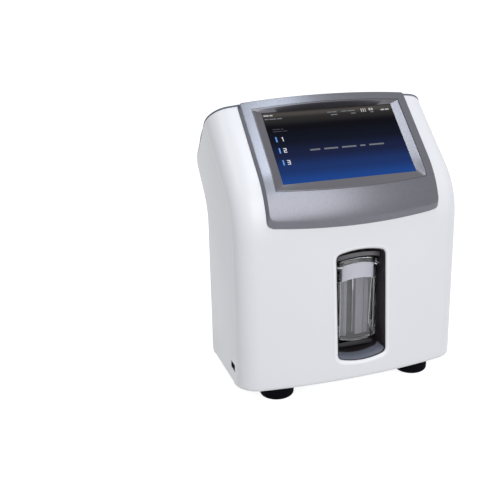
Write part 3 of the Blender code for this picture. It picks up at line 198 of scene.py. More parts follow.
# Softness of the edges that the solids leave sharp
panel_edge = 0.0008
wing_corner = 0.0030
cover_corner, cover_corner_share = 0.0030, 0.86
pane_rows, pane_rim, pane_fade, pane_thinning, pane_softness = 60, 0.0016, 0.0008, 0.0010, 0.0005
visor_arch, cover_arch = 0.0050, 0.0040
recess_fillet, mouth_chamfer = 0.0060, 0.0040
grip_fillet = 0.0040
fine_edge, bold_edge = 0.00025, 0.0008
smooth_angle, surround_angle, soft_angle, pane_angle = 35, 30, 50, 40
soft_segments, pane_segments = 2, 3
merge_distance = 0.00001
flat_angle = 1.0
window_steps = 24
fine_edges = (
    "side_usb_socket", "rear_usb_socket", "network_socket", "serial_socket", "power_inlet", "switch_well",
    "power_rocker", "rear_panel", "left_lower_screw", "left_upper_screw", "right_lower_screw",
    "right_upper_screw", "probe_arm", "front_drawer_rail", "rear_drawer_rail", "drawer_cradle",
)
bold_edges = ("sampler_drip_tray", "reagent_cartridge")

# Drawer in the right side and port in the left
drawer_low, drawer_high = 0.0360, 0.1700
drawer_front_y, drawer_rear_y = 0.0460, 0.1200
drawer_corner = 0.0060
fascia_back = 0.0030
grip_low, grip_high, grip_half_length, grip_depth = 0.1420, 0.1600, 0.0190, 0.0110
grip_wall = 0.0016
board_y, board_low, board_size = 0.0800, 0.0500, (0.0016, 0.0700, 0.1300)
board_standoff, board_standoff_radius, board_margin = 0.0080, 0.0035, 0.0060
host_size = (0.0142, 0.0080)
side_port_margin, side_port_height = 0.0095, 0.0365

# The screen's field from its lower edge up, in shares of its height and linear colours
screen_field = (
    (0.00, (0.010, 0.055, 0.250)),
    (0.20, (0.009, 0.030, 0.130)),
    (0.40, (0.007, 0.012, 0.045)),
    (0.60, (0.002, 0.004, 0.011)),
    (0.78, (0.001, 0.001, 0.002)),
    (0.90, (0.022, 0.020, 0.018)),
    (0.97, (0.070, 0.062, 0.056)),
    (1.00, (0.045, 0.040, 0.038)),
)

# Its plain marks: rows from low to high, then runs across, all in shares, and a linear colour
pale, dim, sky = (0.46, 0.46, 0.46), (0.17, 0.18, 0.20), (0.13, 0.33, 0.80)
faint = (0.06, 0.06, 0.07)
screen_marks = (
    (0.948, 0.968, ((0.012, 0.050), (0.056, 0.078)), pale),
    (0.900, 0.914, ((0.012, 0.040), (0.046, 0.098), (0.104, 0.140)), dim),
    (0.940, 0.954, ((0.490, 0.520), (0.526, 0.562), (0.600, 0.640), (0.648, 0.705)), dim),
    (0.900, 0.914, ((0.510, 0.562), (0.668, 0.705), (0.822, 0.848)), dim),
    (0.915, 0.965, ((0.752, 0.760), (0.768, 0.776), (0.784, 0.790)), pale),
    (0.930, 0.965, ((0.815, 0.829), (0.834, 0.848)), pale),
    (0.918, 0.938, ((0.908, 0.938), (0.944, 0.974)), pale),
    (0.752, 0.762, ((0.046, 0.100), (0.108, 0.125)), faint),
    (0.722, 0.732, ((0.046, 0.112), (0.118, 0.150)), faint),
    (0.425, 0.446, ((0.270, 0.345), (0.375, 0.480), (0.510, 0.620), (0.650, 0.690), (0.720, 0.835)), dim),
)
list_rows, list_height, list_bar, list_left = (0.616, 0.460, 0.294), 0.072, (0.047, 0.057), 0.080
digit_width, digit_height, digit_stroke = 0.022, 0.060, (0.0050, 0.0085)
digit_colour = (0.85, 0.86, 0.90)

# Looks: scales and details of the noises, and how much they change a surface
noise_low, noise_high = 0.3, 0.7
grain_detail, grain_depth = 2.0, 0.00005
flow_scale, flow_detail, flow_spread = 14, 3.0, 0.08
coat_roughness = 0.12
brush_scale, brush_detail, brush_roughness, brush_stretch = 160, 6.0, 0.7, (1, 1, 40)
brush_shade, brush_strength, brush_dull, brush_bright = 0.88, 0.12, 1.25, 0.8
clear_scale, clear_detail, clear_spread = 40, 2.0, 0.3
clear_index, clear_strength, clear_depth = 1.49, 0.05, 0.0001
glass_colour, glass_index = (0.004, 0.004, 0.006), 1.06
glass_scale, glass_detail, glass_roughness = 60, 2.0, (0.08, 0.11)

# Light
floor_size, floor_roughness = 6, 0.9
floor_glow, floor_colour = 0.80, (0.55, 0.55, 0.55)
sky_level, sky_colour = 0.44, (0.95, 0.97, 1.0)
cool_light, plain_light = (0.86, 0.94, 1.0), (1.0, 1.0, 1.0)

# Lamps: place, the point they aim at, size, power and colour
lamps = (
    ("overhead", (0.15, -0.31, 1.75), (0.15, -0.31, 0), (0.42, 0.40), 4.2, cool_light),
    ("brow", (0.12, -0.85, 1.50), (-0.05, -0.07, 0.24), (0.45, 0.70), 2.2, cool_light),
    ("left", (-1.25, 0.10, 1.60), (0, 0, 0.3), (0.4, 0.6), 1.8, plain_light),
    ("front", (0.0, -2.0, 1.30), (0.0, -0.07, 0.22), (1.8, 1.5), 24, plain_light),
)

# Camera, fitted to the photograph's 501 by 501 frame
camera_place = Vector((-0.370337, -0.799637, 0.495199))
camera_yaw, camera_pitch, camera_roll = math.radians(-22.2), math.radians(19.6), math.radians(0.4)
frame_pixels = 501
focal_pixels = 883.1
axis_pixel_x, axis_pixel_y = 321.9, 239.9
sensor_width = 36.0

# Distance from the solids' own Y to the frame's Y
pin_low, pin_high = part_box("cover_hinge_pin")
shift = (pin_low.y + pin_high.y) / 2 - hinge_y


def meet(place, direction, other_place, other_direction):
    """The point where two lines of the side view cross."""
    across = direction.cross(other_direction)
    return place + direction * ((other_place - place).cross(other_direction) / across)


def rounded_corner(start, corner, end, share):
    """Point of the curve that rounds a corner between two places."""
    return start.lerp(corner, share).lerp(corner.lerp(end, share), share)


slope = Vector((math.sin(display_tilt), math.cos(display_tilt)))
outward = Vector((-slope.y, slope.x))
skin_start = display_bottom + outward * skin_over_display
ridge = skin_start + slope * ridge_distance
front_bottom = Vector((0, bottom_height))
shoulder = meet(front_bottom, Vector((front_lean_share, 1)), skin_start, slope)
corner_turn = math.asin((half_width - corner_radius) / (bow_radius - corner_radius))
corner_inset = bow_radius - (bow_radius - corner_radius) * math.cos(corner_turn)
side_port_y = corner_inset + side_port_margin
side_top = ridge + Vector((side_top_back, -side_top_drop))
crown = ridge + Vector((crown_back, -crown_drop))
bulge = ridge + Vector((bulge_back, -bulge_drop))
side_bulge = bulge + Vector((-side_bulge_forward, side_bulge_rise))
side_rear_y = rear_y - side_rear_forward


class SideView:
    """A line of the housing seen from the side: corners, each with the length of its rounding."""

    def __init__(self, *corners):
        self.corners = corners
        self.last = 2 * len(corners) - 3
        self.mitres = {}

    def toward(self, corner, other):
        """Where the rounding of a corner meets the straight run towards another corner."""
        place, rounding = self.corners[corner]
        if not rounding:
            return place
        return place + (self.corners[other][0] - place).normalized() * rounding

    def point(self, t):
        """Point at t. Even spans are the straight runs, odd spans round the corners."""
        span = max(0, min(int(t), self.last - 1))
        share = t - span
        if span % 2:
            corner = (span + 1) // 2
            start, end = self.toward(corner, corner - 1), self.toward(corner, corner + 1)
            return rounded_corner(start, self.corners[corner][0], end, share)
        corner = span // 2
        return self.toward(corner, corner + 1).lerp(self.toward(corner + 1, corner), share)

    def inward(self, t):
        """Way into the housing at t: square to the line, or along the mitre at an end that has one."""
        if t in self.mitres:
            return self.mitres[t]
        run = self.point(t + tangent_step) - self.point(t - tangent_step)
        return Vector((run.y, -run.x)).normalized()


def mitre(before, after):
    """Give two side views that meet at a corner one way inwards there."""
    one, other = before.inward(before.last), after.inward(0)
    shared = (one + other) / (1 + one.dot(other))
    before.mitres[before.last] = shared
    after.mitres[0] = shared


front_centre = SideView(
    (Vector((lip_depth, bottom_height)), 0),
    (front_bottom, edge_rounding),
    (shoulder, shoulder_rounding),
    (ridge, 0),
)
front_side = SideView(
    (Vector((corner_inset + lip_depth, bottom_height)), 0),
    (Vector((corner_inset, bottom_height)), edge_rounding),
    (Vector((corner_inset, side_shoulder_height)), side_shoulder_rounding),
    (side_top, 0),
)
rear_centre = SideView(
    (ridge + Vector((seam, cover_step)), 0),
    (crown, crown_rounding),
    (bulge, bulge_rounding),
    (Vector((rear_y, bulge.y - waist_drop)), waist_rounding),
    (Vector((rear_y, bottom_height)), edge_rounding),
    (Vector((rear_y - lip_depth, bottom_height)), 0),
)
rear_side = SideView(
    (side_top + Vector((seam, cover_step)), 0),
    (side_top.lerp(side_bulge, side_crown_share), side_crown_rounding),
    (side_bulge, side_bulge_rounding),
    (Vector((side_rear_y, side_bulge.y - side_waist_drop)), side_waist_rounding),
    (Vector((side_rear_y, bottom_height)), edge_rounding),
    (Vector((side_rear_y - lip_depth, bottom_height)), 0),
)
mitre(front_centre, rear_centre)
mitre(front_side, rear_side)


def spans(*counts):
    """Values of t that divide each span in turn into the given count."""
    values = [0.0]
    for span, count in enumerate(counts):
        values += [span + (step + 1) / count for step in range(count)]
    return values


front_rows = spans(lip_rows, rounding_steps, straight_steps, slope_steps, slope_steps)
rear_rows = spans(crown_rows, slope_steps, *[bulge_steps] * 4, straight_steps, rounding_steps, lip_rows)


def plan_point(turn):
    """X, and the share of the corner's inset, where the housing faces this angle from straight ahead."""
    angle = abs(turn)
    if angle < corner_turn:
        x, inset = bow_radius * math.sin(angle), bow_radius * (1 - math.cos(angle))
    else:
        x = half_width - corner_radius + corner_radius * math.sin(angle)
        inset = corner_inset - corner_radius * math.cos(angle)
    return math.copysign(x, turn), inset / corner_inset


def plan_turns():
    """Angles across the whole width, left to right."""
    bow = [corner_turn * (2 * step / bow_steps - 1) for step in range(bow_steps + 1)]
    rest = math.pi / 2 - corner_turn
    corner = [corner_turn + rest * (step + 1) / corner_steps for step in range(corner_steps)]
    return [-turn for turn in reversed(corner)] + bow + corner


def skin(centre, side, t, turn, depth=0):
    """Point of the housing's skin, or of the face at a depth under it."""
    x, share = plan_point(turn)
    middle = centre.point(t) + centre.inward(t) * depth
    edge = side.point(t) + side.inward(t) * depth * edge_draft_share
    place = middle.lerp(edge, share)
    return Vector((x * (1 - depth / half_width), place.x, place.y))


def raised(t, turn, rise):
    """Point at a height over the front shell's skin."""

    def near(up, across):
        return skin(front_centre, front_side, t + up * tangent_step, turn + across * tangent_step)

    up = near(1, 0) - near(-1, 0)
    across = near(0, 1) - near(0, -1)
    return near(0, 0) + across.cross(up).normalized() * rise


def solve(measure, low, high, wanted):
    """The value between low and high at which a rising measure is as wanted."""
    for _ in range(bisection_rounds):
        middle = (low + high) / 2
        if measure(middle) < wanted:
            low = middle
        else:
            high = middle
    return (low + high) / 2


def over_display(x, along, height):
    """Point from its place along the display's slope and its height over the display."""
    place = display_bottom + slope * along + outward * height
    return Vector((x, place.x, place.y))


def turn_at(x):
    """The angle from straight ahead that the housing faces at this X."""
    turn = solve(lambda angle: plan_point(angle)[0], 0, math.pi / 2, abs(x))
    return math.copysign(turn, x)


def over_shell(x, along, rise):
    """The turn and t at which a face at a rise over the shell lies over a place of the display's slope."""
    turn = turn_at(x / (1 + rise / bow_radius))

    def distance(t):
        return (raised(t, turn, rise).yz - display_bottom).dot(slope)

    return turn, solve(distance, bezel_low_t, bezel_high_t, along)


def height_over_display(x, along, rise):
    """Height over the display's plane of a face at a rise over the shell."""
    turn, t = over_shell(x, along, rise)
    return (raised(t, turn, rise).yz - display_bottom).dot(outward)


def front_y(x, z):
    """Y of the front shell's skin at a place of its leaning front."""
    turn = turn_at(x)
    t = solve(lambda value: skin(front_centre, front_side, value, turn).z, 1, front_centre.last - 1, z)
    return skin(front_centre, front_side, t, turn).y


# Materials

class Nodes:
    """Nodes of a material or a world, with the steps that they share."""

    def __init__(self, owner, shader):
        owner.use_nodes = True
        self.owner = owner
        self.tree = owner.node_tree
        self.shader = self.tree.nodes[shader]

    def fill(self, node, inputs):
        """Set each of these inputs of a node, or link it where the value is another node's output."""
        for name, value in inputs.items():
            if isinstance(value, bpy.types.NodeSocket):
                self.tree.links.new(value, node.inputs[name])
            else:
                node.inputs[name].default_value = value

    def add(self, kind, output, inputs):
        """One output of a new node."""
        node = self.tree.nodes.new(f"ShaderNode{kind}")
        self.fill(node, inputs)
        return node.outputs[output]

    def maths(self, operation, *values):
        node = self.tree.nodes.new("ShaderNodeMath")
        node.operation = operation
        self.fill(node, dict(enumerate(values)))
        return node.outputs["Value"]

    def mix(self, factor, under, over):
        node = self.tree.nodes.new("ShaderNodeMix")
        node.data_type = "RGBA"
        self.fill(node, {"Factor": factor, "A": under, "B": over})
        return node.outputs["Result"]

    def noise(self, scale, detail, roughness=0.5, stretch=(1, 1, 1)):
        """Noise in the object's own coordinates."""
        place = self.add("TexCoord", "Object", {})
        mapped = self.add("Mapping", "Vector", {"Vector": place, "Scale": stretch})
        inputs = {"Vector": mapped, "Scale": scale, "Detail": detail, "Roughness": roughness}
        return self.add("TexNoise", "Fac", inputs)

    def spread(self, value, low, high):
        """A noise spread between two values."""
        inputs = {"From Min": noise_low, "From Max": noise_high, "To Min": low, "To Max": high}
        return self.add("MapRange", "Result", {"Value": value, **inputs})

    def ramp(self, value, stops, interpolation="LINEAR"):
        """Colour through stops, each a position and a colour."""
        node = self.tree.nodes.new("ShaderNodeValToRGB")
        ramp = node.color_ramp
        ramp.interpolation = interpolation
        for element, (position, colour) in zip(ramp.elements, (stops[0], stops[-1])):
            element.position, element.color = position, (*colour, 1)
        for position, colour in stops[1:-1]:
            ramp.elements.new(position).color = (*colour, 1)
        self.fill(node, {"Fac": value})
        return node.outputs["Color"]

    def tint(self, value, dark, light):
        """Colour between two others, by a noise."""
        return self.ramp(value, ((noise_low, dark), (noise_high, light)))

    def bumps(self, value, strength, distance):
        inputs = {"Height": value, "Strength": strength, "Distance": distance}
        self.fill(self.shader, {"Normal": self.add("Bump", "Normal", inputs)})


def new_look(name):
    return Nodes(bpy.data.materials.new(f"{name}_look"), "Principled BSDF")


def moulded(name, colour, roughness, grain, strength, coat=0.0, metallic=0.0, variation=0.03, flake=False,
            gloss=0.5):
    """Moulded plastic with a fine grain and faint flow marks, or an even lacquer with flakes."""
    look = new_look(name)
    fine, broad = look.noise(grain, grain_detail), look.noise(flow_scale, flow_detail)
    dark = tuple(channel * (1 - variation) for channel in colour)
    light = tuple(min(1.0, channel * (1 + variation)) for channel in colour)
    low, high = roughness * (1 - flow_spread), roughness * (1 + flow_spread)
    look.fill(look.shader, {
        "Base Color": look.tint(fine if flake else broad, dark, light),
        "Roughness": roughness if flake else look.spread(broad, low, high),
        "Metallic": metallic,
        "Specular IOR Level": gloss,
        "Coat Weight": coat,
        "Coat Roughness": coat_roughness,
    })
    look.bumps(fine, strength, grain_depth)
    return look.owner


def brushed(name, colour, roughness):
    """Metal with fine lines along one direction."""
    look = new_look(name)
    lines = look.noise(brush_scale, brush_detail, brush_roughness, brush_stretch)
    dark = tuple(channel * brush_shade for channel in colour)
    look.fill(look.shader, {
        "Base Color": look.tint(lines, dark, colour),
        "Roughness": look.spread(lines, roughness * brush_bright, roughness * brush_dull),
        "Metallic": 1.0,
    })
    look.bumps(lines, brush_strength, grain_depth)
    return look.owner


def clear(name, colour, roughness):
    """Clear moulded plastic."""
    look = new_look(name)
    broad = look.noise(clear_scale, clear_detail)
    low, high = roughness * (1 - clear_spread), roughness * (1 + clear_spread)
    look.fill(look.shader, {
        "Base Color": (*colour, 1),
        "Roughness": look.spread(broad, low, high),
        "Transmission Weight": 1.0,
        "IOR": clear_index,
    })
    look.bumps(broad, clear_strength, clear_depth)
    return look.owner


def screen_list():
    """Three numbered rows of the screen's list, each with a bar beside a digit of straight strokes."""
    stroke_x, stroke_y = digit_stroke
    marks = []
    for number, middle in enumerate(list_rows, 1):
        marks.append((middle - list_height / 2, middle + list_height / 2, (list_bar,), sky))
        low, high = middle - digit_height / 2, middle + digit_height / 2
        left, right = list_left, list_left + digit_width
        columns = {"left": (left, left + stroke_x), "right": (right - stroke_x, right)}
        full = (left, right)
        if number > 1:
            for row in (low, middle - stroke_y / 2, high - stroke_y):
                marks.append((row, row + stroke_y, (full,), digit_colour))
            marks.append((middle, high, (columns["right"],), digit_colour))
            marks.append((low, middle, (columns["left" if number == 2 else "right"],), digit_colour))
        else:
            marks.append((low, high, (columns["right"],), digit_colour))
            flag = (right - 2 * stroke_x, right)
            marks.append((high - 2 * stroke_y, high - stroke_y, (flag,), digit_colour))
    return tuple(marks)


def screen_look():
    """Dark glass with a lit picture: plain marks on a field that runs from a grey bar to black and blue."""
    look = new_look("glass_black")
    place = look.add("TexCoord", "UV", {})
    across, up = [look.add("SeparateXYZ", axis, {"Vector": place}) for axis in ("X", "Y")]

    def inside(value, low, high):
        above, below = look.maths("GREATER_THAN", value, low), look.maths("LESS_THAN", value, high)
        return look.maths("MULTIPLY", above, below)

    picture = look.ramp(up, screen_field, "EASE")
    for low, high, marks, colour in screen_marks + screen_list():
        rows = inside(up, low, high)
        for left, right in marks:
            mask = look.maths("MULTIPLY", rows, inside(across, left, right))
            picture = look.mix(mask, picture, (*colour, 1))
    fine = look.noise(glass_scale, glass_detail)
    look.fill(look.shader, {
        "Base Color": (*glass_colour, 1),
        "Roughness": look.spread(fine, *glass_roughness),
        "IOR": glass_index,
        "Emission Color": picture,
        "Emission Strength": look.maths("MULTIPLY", inside(across, 0, 1), inside(up, 0, 1)),
    })
    return look.owner


def make_materials():
    """Each look by its name."""
    materials = (
        screen_look(),
        moulded("shell_white", (0.805, 0.803, 0.832), 0.34, 1400, 0.05, coat=0.15, variation=0.008),
        moulded("cover_grey", (0.13, 0.15, 0.20), 0.36, 1100, 0.10, coat=0.3),
        moulded("bezel_metal", (0.150, 0.152, 0.174), 0.28, 600, 0.0, 0.0, 0.9, 0.06, flake=True),
        moulded("surround_grey", (0.132, 0.129, 0.145), 0.29, 600, 0.0, 0.0, 0.82, 0.02, flake=True),
        moulded("liner_grey", (0.032, 0.027, 0.031), 0.42, 1200, 0.25, gloss=0.3),
        moulded("visor_grey", (0.105, 0.100, 0.110), 0.42, 1200, 0.25),
        moulded("column_grey", (0.225, 0.215, 0.255), 0.45, 1200, 0.15),
        # Lighter blue-grey than the liner, for the recess floor's ledge: painted light where that floor
        # catches the light.
        moulded("painted_light_ledge_grey", (0.16, 0.172, 0.215), 0.35, 1200, 0.10),
        # Brighter than the shell's white: painted highlights on the window's lip, the shell's side edges and
        # the cover wings' edges.
        moulded("painted_highlight_white", (0.88, 0.885, 0.905), 0.30, 1400, 0.0, coat=0.2, variation=0.0),
        moulded("port_black", (0.010, 0.010, 0.012), 0.50, 1200, 0.0, gloss=0.1),
        moulded("band_grey", (0.58, 0.58, 0.64), 0.50, 1400, 0.05),
        moulded("cartridge_white", (0.72, 0.73, 0.75), 0.45, 1200, 0.10),
        moulded("rubber_black", (0.022, 0.021, 0.024), 0.50, 900, 0.25, gloss=0.4),
        moulded("foot_black", (0.004, 0.0035, 0.006), 0.70, 900, 0.25, gloss=0.03),
        moulded("board_green", (0.02, 0.13, 0.06), 0.40, 700, 0.10, coat=0.5),
        brushed("metal_grey", (0.50, 0.51, 0.53), 0.38),
        brushed("steel", (0.66, 0.66, 0.68), 0.24),
        clear("clear_plastic", (0.95, 0.95, 0.97), 0.04),
    )
    return {material.name.removesuffix("_look"): material for material in materials}


# Pieces

bodies = {node: body for body, nodes in frame["record"]["behaviour"]["bodies"].items() for node in nodes}
slots = {entry["node"]: entry["material_slot"] for entry in frame["record"]["subparts"]}
feet = ("front_left_foot", "front_right_foot", "rear_left_foot", "rear_right_foot")
own_looks = dict.fromkeys(feet, "foot_black")
own_looks.update({"sampler_visor": "visor_grey", "side_usb_socket": "port_black"})


def add_object(name, data):
    thing = bpy.data.objects.new(name, data)
    bpy.context.scene.collection.objects.link(thing)
    return thing


def settle(node, mesh, angle=smooth_angle):
    """Finer piece from a bmesh in the solids' own coordinates, which stands for a node on its body."""
    bmesh.ops.translate(mesh, verts=mesh.verts, vec=(0, shift, 0))
    return adopt(node, mesh, angle)


def closed_data(name, mesh):
    """Mesh data from a closed bmesh, with its faces turned outwards."""
    bmesh.ops.recalc_face_normals(mesh, faces=mesh.faces)
    if mesh.calc_volume(signed=True) < 0:
        bmesh.ops.reverse_faces(mesh, faces=mesh.faces)
    data = bpy.data.meshes.new(name)
    mesh.to_mesh(data)
    mesh.free()
    return data


def add_piece(name, mesh, look, angle=smooth_angle):
    """Object with a look, from a closed bmesh."""
    piece = add_object(name, closed_data(name, mesh))
    piece.data.materials.append(looks[look])
    smooth(piece, angle)
    return piece


def adopt(node, mesh, angle):
    """Object that rides, is finished and is shown in a node's place."""
    piece = add_piece(f"{node}_fine", mesh, own_looks.get(node, slots[node]), angle)
    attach(piece, bodies[node])
    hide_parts(node)
    return piece


def smooth(piece, angle=smooth_angle):
    piece.data.shade_smooth()
    piece.data.set_sharp_from_angle(angle=math.radians(angle))


def apply_modifiers(piece):
    """Make the evaluated mesh the piece's own."""
    bpy.context.view_layer.update()
    graph = bpy.context.evaluated_depsgraph_get()
    data = bpy.data.meshes.new_from_object(piece.evaluated_get(graph))
    piece.modifiers.clear()
    piece.data = data
    smooth(piece)


def soften(piece, width, segments=soft_segments, angle=soft_angle):
    """Round the edges that are sharper than an angle."""
    modifier = piece.modifiers.new("soft_edges", "BEVEL")
    modifier.limit_method = "ANGLE"
    modifier.angle_limit = math.radians(angle)
    modifier.width = width
    modifier.segments = segments
    apply_modifiers(piece)


def refine(node, width):
    """Copy of a node's solid with clean faces and rounded edges."""
    mesh = bmesh.new()
    mesh.from_mesh(frame["nodes"][node].data)
    bmesh.ops.remove_doubles(mesh, verts=mesh.verts, dist=merge_distance)
    flat = math.radians(flat_angle)
    bmesh.ops.dissolve_limit(mesh, angle_limit=flat, verts=mesh.verts, edges=mesh.edges)
    soften(adopt(node, mesh, smooth_angle), width, angle=smooth_angle)


def combine(piece, operation, meshes):
    """Boolean of a piece with closed bmeshes in the solids' own coordinates, clear of each other."""
    joined = bmesh.new()
    for mesh in meshes:
        data = closed_data("tool", mesh)
        joined.from_mesh(data)
        bpy.data.meshes.remove(data)
    bmesh.ops.translate(joined, verts=joined.verts, vec=(0, shift, 0))
    data = bpy.data.meshes.new("tool")
    joined.to_mesh(data)
    joined.free()
    data.materials.append(piece.data.materials[0])
    tool = add_object("tool", data)
    modifier = piece.modifiers.new("combine", "BOOLEAN")
    modifier.solver = "EXACT"
    modifier.operation = operation
    modifier.object = tool
    apply_modifiers(piece)
    bpy.data.objects.remove(tool, do_unlink=True)


def cut(piece, *meshes):
    combine(piece, "DIFFERENCE", meshes)


def weld(piece, *meshes):
    combine(piece, "UNION", meshes)


def add_loops(mesh, loops, closed=False):
    """Skin of quads through loops of points, capped at both ends, or joined end to end."""
    rings = [[mesh.verts.new(place) for place in loop] for loop in loops]
    pairs = list(zip(rings, rings[1:]))
    if closed:
        pairs.append((rings[-1], rings[0]))
    for ring, following in pairs:
        for step in range(len(ring)):
            after = (step + 1) % len(ring)
            mesh.faces.new((ring[step], ring[after], following[after], following[step]))
    if not closed:
        mesh.faces.new(rings[0])
        mesh.faces.new(rings[-1])
    return mesh


def looped(loops, closed=False):
    return add_loops(bmesh.new(), loops, closed)


def sheet(outer, inner):
    """Closed mesh between two grids of points."""
    mesh = bmesh.new()
    rows, columns = len(outer), len(outer[0])
    top, bottom = [[[mesh.verts.new(place) for place in row] for row in grid] for grid in (outer, inner)]
    for grid in (top, bottom):
        for near, far in zip(grid, grid[1:]):
            for column in range(columns - 1):
                mesh.faces.new((near[column], near[column + 1], far[column + 1], far[column]))
    border = [(0, column) for column in range(columns - 1)]
    border += [(row, columns - 1) for row in range(rows - 1)]
    border += [(rows - 1, column) for column in range(columns - 1, 0, -1)]
    border += [(row, 0) for row in range(rows - 1, 0, -1)]
    for step, (row, column) in enumerate(border):
        next_row, next_column = border[(step + 1) % len(border)]
        edge = (top[row][column], top[next_row][next_column])
        mesh.faces.new((*edge, bottom[next_row][next_column], bottom[row][column]))
    return mesh


def on_axis(axis, across, up, distance):
    """Point from two coordinates square to an axis and one along it."""
    if axis == "X":
        return Vector((distance, across, up))
    if axis == "Y":
        return Vector((across, distance, up))
    return Vector((across, up, distance))


def ring_at(outline, axis, distance):
    """Outline as points on a plane square to an axis."""
    return [on_axis(axis, across, up, distance) for across, up in outline]


def prism(outline, axis, low, high):
    return looped([ring_at(outline, axis, distance) for distance in (low, high)])


def box(low, high):
    flat = [(low[0], low[1]), (high[0], low[1]), (high[0], high[1]), (low[0], high[1])]
    return prism(flat, "Z", low[2], high[2])


def circle(centre, radius, steps=round_steps):
    x, y = centre
    angles = [math.tau * step / steps for step in range(steps)]
    return [(x + radius * math.cos(angle), y + radius * math.sin(angle)) for angle in angles]


def rod(axis, centre, radius, low, high):
    """Thin round bar along an axis."""
    return prism(circle(centre, radius, small_round_steps), axis, low, high)


def quarter_round(radius):
    """Insets and depths round an edge, from the face that it meets to the wall."""
    angles = [math.pi / 2 * step / rounding_steps for step in range(rounding_steps + 1)]
    return [(radius * (1 - math.sin(angle)), radius * (1 - math.cos(angle))) for angle in angles]


def fall_back(radius, x):
    """How far a bowed face of this radius lies behind its middle at this X."""
    return radius - math.sqrt(radius**2 - x * x)


def turned(axis, centre, outline, steps=round_steps):
    """Solid of revolution from radii and places along an axis, from one end to the other."""
    return looped([ring_at(circle(centre, radius, steps), axis, distance) for radius, distance in outline])


def rounded_outline(corners, rounding, steps=rounding_steps):
    """Outline of 2D corners, each marked True if it is rounded."""
    outline = []
    for index, (place, is_rounded) in enumerate(corners):
        if not is_rounded:
            outline.append(place)
            continue
        before = corners[index - 1][0]
        after = corners[(index + 1) % len(corners)][0]
        start = place + (before - place).normalized() * rounding
        end = place + (after - place).normalized() * rounding
        for step in range(steps + 1):
            outline.append(rounded_corner(start, place, end, step / steps))
    return outline


def rounded_rectangle(low, high, rounding):
    corners = [Vector(low), Vector((high[0], low[1])), Vector(high), Vector((low[0], high[1]))]
    return rounded_outline([(corner, True) for corner in corners], rounding)


def housing_grid(centre, side, rows, depth=0):
    return [[skin(centre, side, t, turn, depth) for turn in plan_turns()] for t in rows]


def window_outline(inset):
    """Outline of the sampler window in X and Z, with its bowed top and bottom, drawn in by an inset."""
    half = window_half_width - inset
    rounding = max(window_corner - inset, seam)
    corners = []
    low, high = window_low + inset, window_high - inset
    for direction, edge, sag in ((1, low, -window_low_sag), (-1, high, window_high_rise)):
        corners.append((Vector((-direction * half, edge)), True))
        for step in range(1, window_steps):
            share = (2 * step / window_steps - 1) * (half - rounding) / half
            corners.append((Vector((direction * share * half, edge + sag * (1 - share * share))), False))
        corners.append((Vector((direction * half, edge)), True))
    middle = (window_low + window_high) / 2
    outline = rounded_outline(corners, rounding)
    return [(window_x + place.x - window_lean * (place.y - middle), place.y) for place in outline]


def window_ring(inset, depth):
    """Window outline as points at a depth under the front's skin."""
    return [Vector((x, front_y(x, z) + depth, z)) for x, z in window_outline(inset)]


def lip_rings(grow, sink):
    """Rings round the window's rolled lip, from its outer edge in, grown and sunk by a little."""
    rings = []
    for step in range(lip_steps + 1):
        angle = lip_turn * step / lip_steps
        inset = -lip_width * (1 - math.sin(angle) / math.sin(lip_turn))
        depth = window_bevel * (1 - math.cos(angle)) / (1 - math.cos(lip_turn))
        rings.append(window_ring(inset - grow, depth + sink))
    return rings


def build_front_shell():
    """Front shell with a rolled lip round the sampler window and the opening for the display."""
    outer = housing_grid(front_centre, front_side, front_rows)
    inner = housing_grid(front_centre, front_side, front_rows, wall)
    shell = settle("front_shell", sheet(outer, inner))
    soften(shell, edge_softness)
    loops = [window_ring(-lip_width - seam, -overrun), window_ring(-lip_width - seam, 0)]
    loops += lip_rings(0, seam / 10)
    loops.append(window_ring(0, overrun))
    cut(shell, looped(loops), rim_prism(2 * seam))


def side_outline(inset):
    """Outline of a side panel in Y and Z: the side lines of the shell and the rear cover, drawn in."""
    front = [front_side.point(t) + front_side.inward(t) * inset for t in front_rows]
    rear = [rear_side.point(t) + rear_side.inward(t) * inset for t in rear_rows]
    return [(place.x, place.y) for place in front + rear[1:]]


def build_side_panel(node, direction):
    """Side panel with a softly rounded outer edge, and the bosses for the cover's screws."""
    loops = []
    for inset, depth in quarter_round(panel_edge):
        loops.append(ring_at(side_outline(seam + inset), "X", direction * (half_width - depth)))
    inset = seam + wall * edge_draft_share
    loops.append(ring_at(side_outline(inset), "X", direction * (half_width - wall)))
    panel = settle(node, looped(loops))
    boss_rear = side_rear_y - wall + seam
    bosses, holes = [], []
    for height in (screw_low, screw_high):
        ends = sorted((direction * (screw_x - boss_size / 2), direction * (half_width - wall / 2)))
        low = (ends[0], boss_rear - boss_length, height - boss_size / 2)
        bosses.append(box(low, (ends[1], boss_rear, height + boss_size / 2)))
        centre, radius = (direction * screw_x, height), screw_shank_radius + seam
        holes.append(rod("Y", centre, radius, boss_rear - boss_length - overrun, rear_y + overrun))
    weld(panel, *bosses)
    cut(panel, *holes)
    return panel


def build_left_panel():
    """Left panel with the circuit board's posts and the hole for the small port."""
    panel = build_side_panel("left_side_panel", -1)
    inner = half_width - wall
    half_y, half_z = board_size[1] / 2 - board_margin, board_size[2] / 2 - board_margin
    posts = []
    for y in (board_y - half_y, board_y + half_y):
        for z in (board_low + board_size[2] / 2 - half_z, board_low + board_size[2] / 2 + half_z):
            ends = (-inner - wall / 2, -inner + board_standoff)
            posts.append(rod("X", (y, z), board_standoff_radius, *ends))
    weld(panel, *posts)
    centre, half = Vector((side_port_y, side_port_height)), Vector(host_size) / 2 + Vector((seam, seam))
    hole = rounded_rectangle(centre - half, centre + half, seam * 2)
    cut(panel, prism(hole, "X", -half_width - overrun, -half_width + overrun))


def build_right_panel():
    panel = build_side_panel("right_side_panel", 1)
    outline = drawer_outline(0)
    cut(panel, prism(outline, "X", half_width - wall - overrun, half_width + overrun))


def drawer_outline(inset):
    low = (drawer_front_y + inset, drawer_low + inset)
    high = (drawer_rear_y - inset, drawer_high - inset)
    return rounded_rectangle(low, high, drawer_corner)


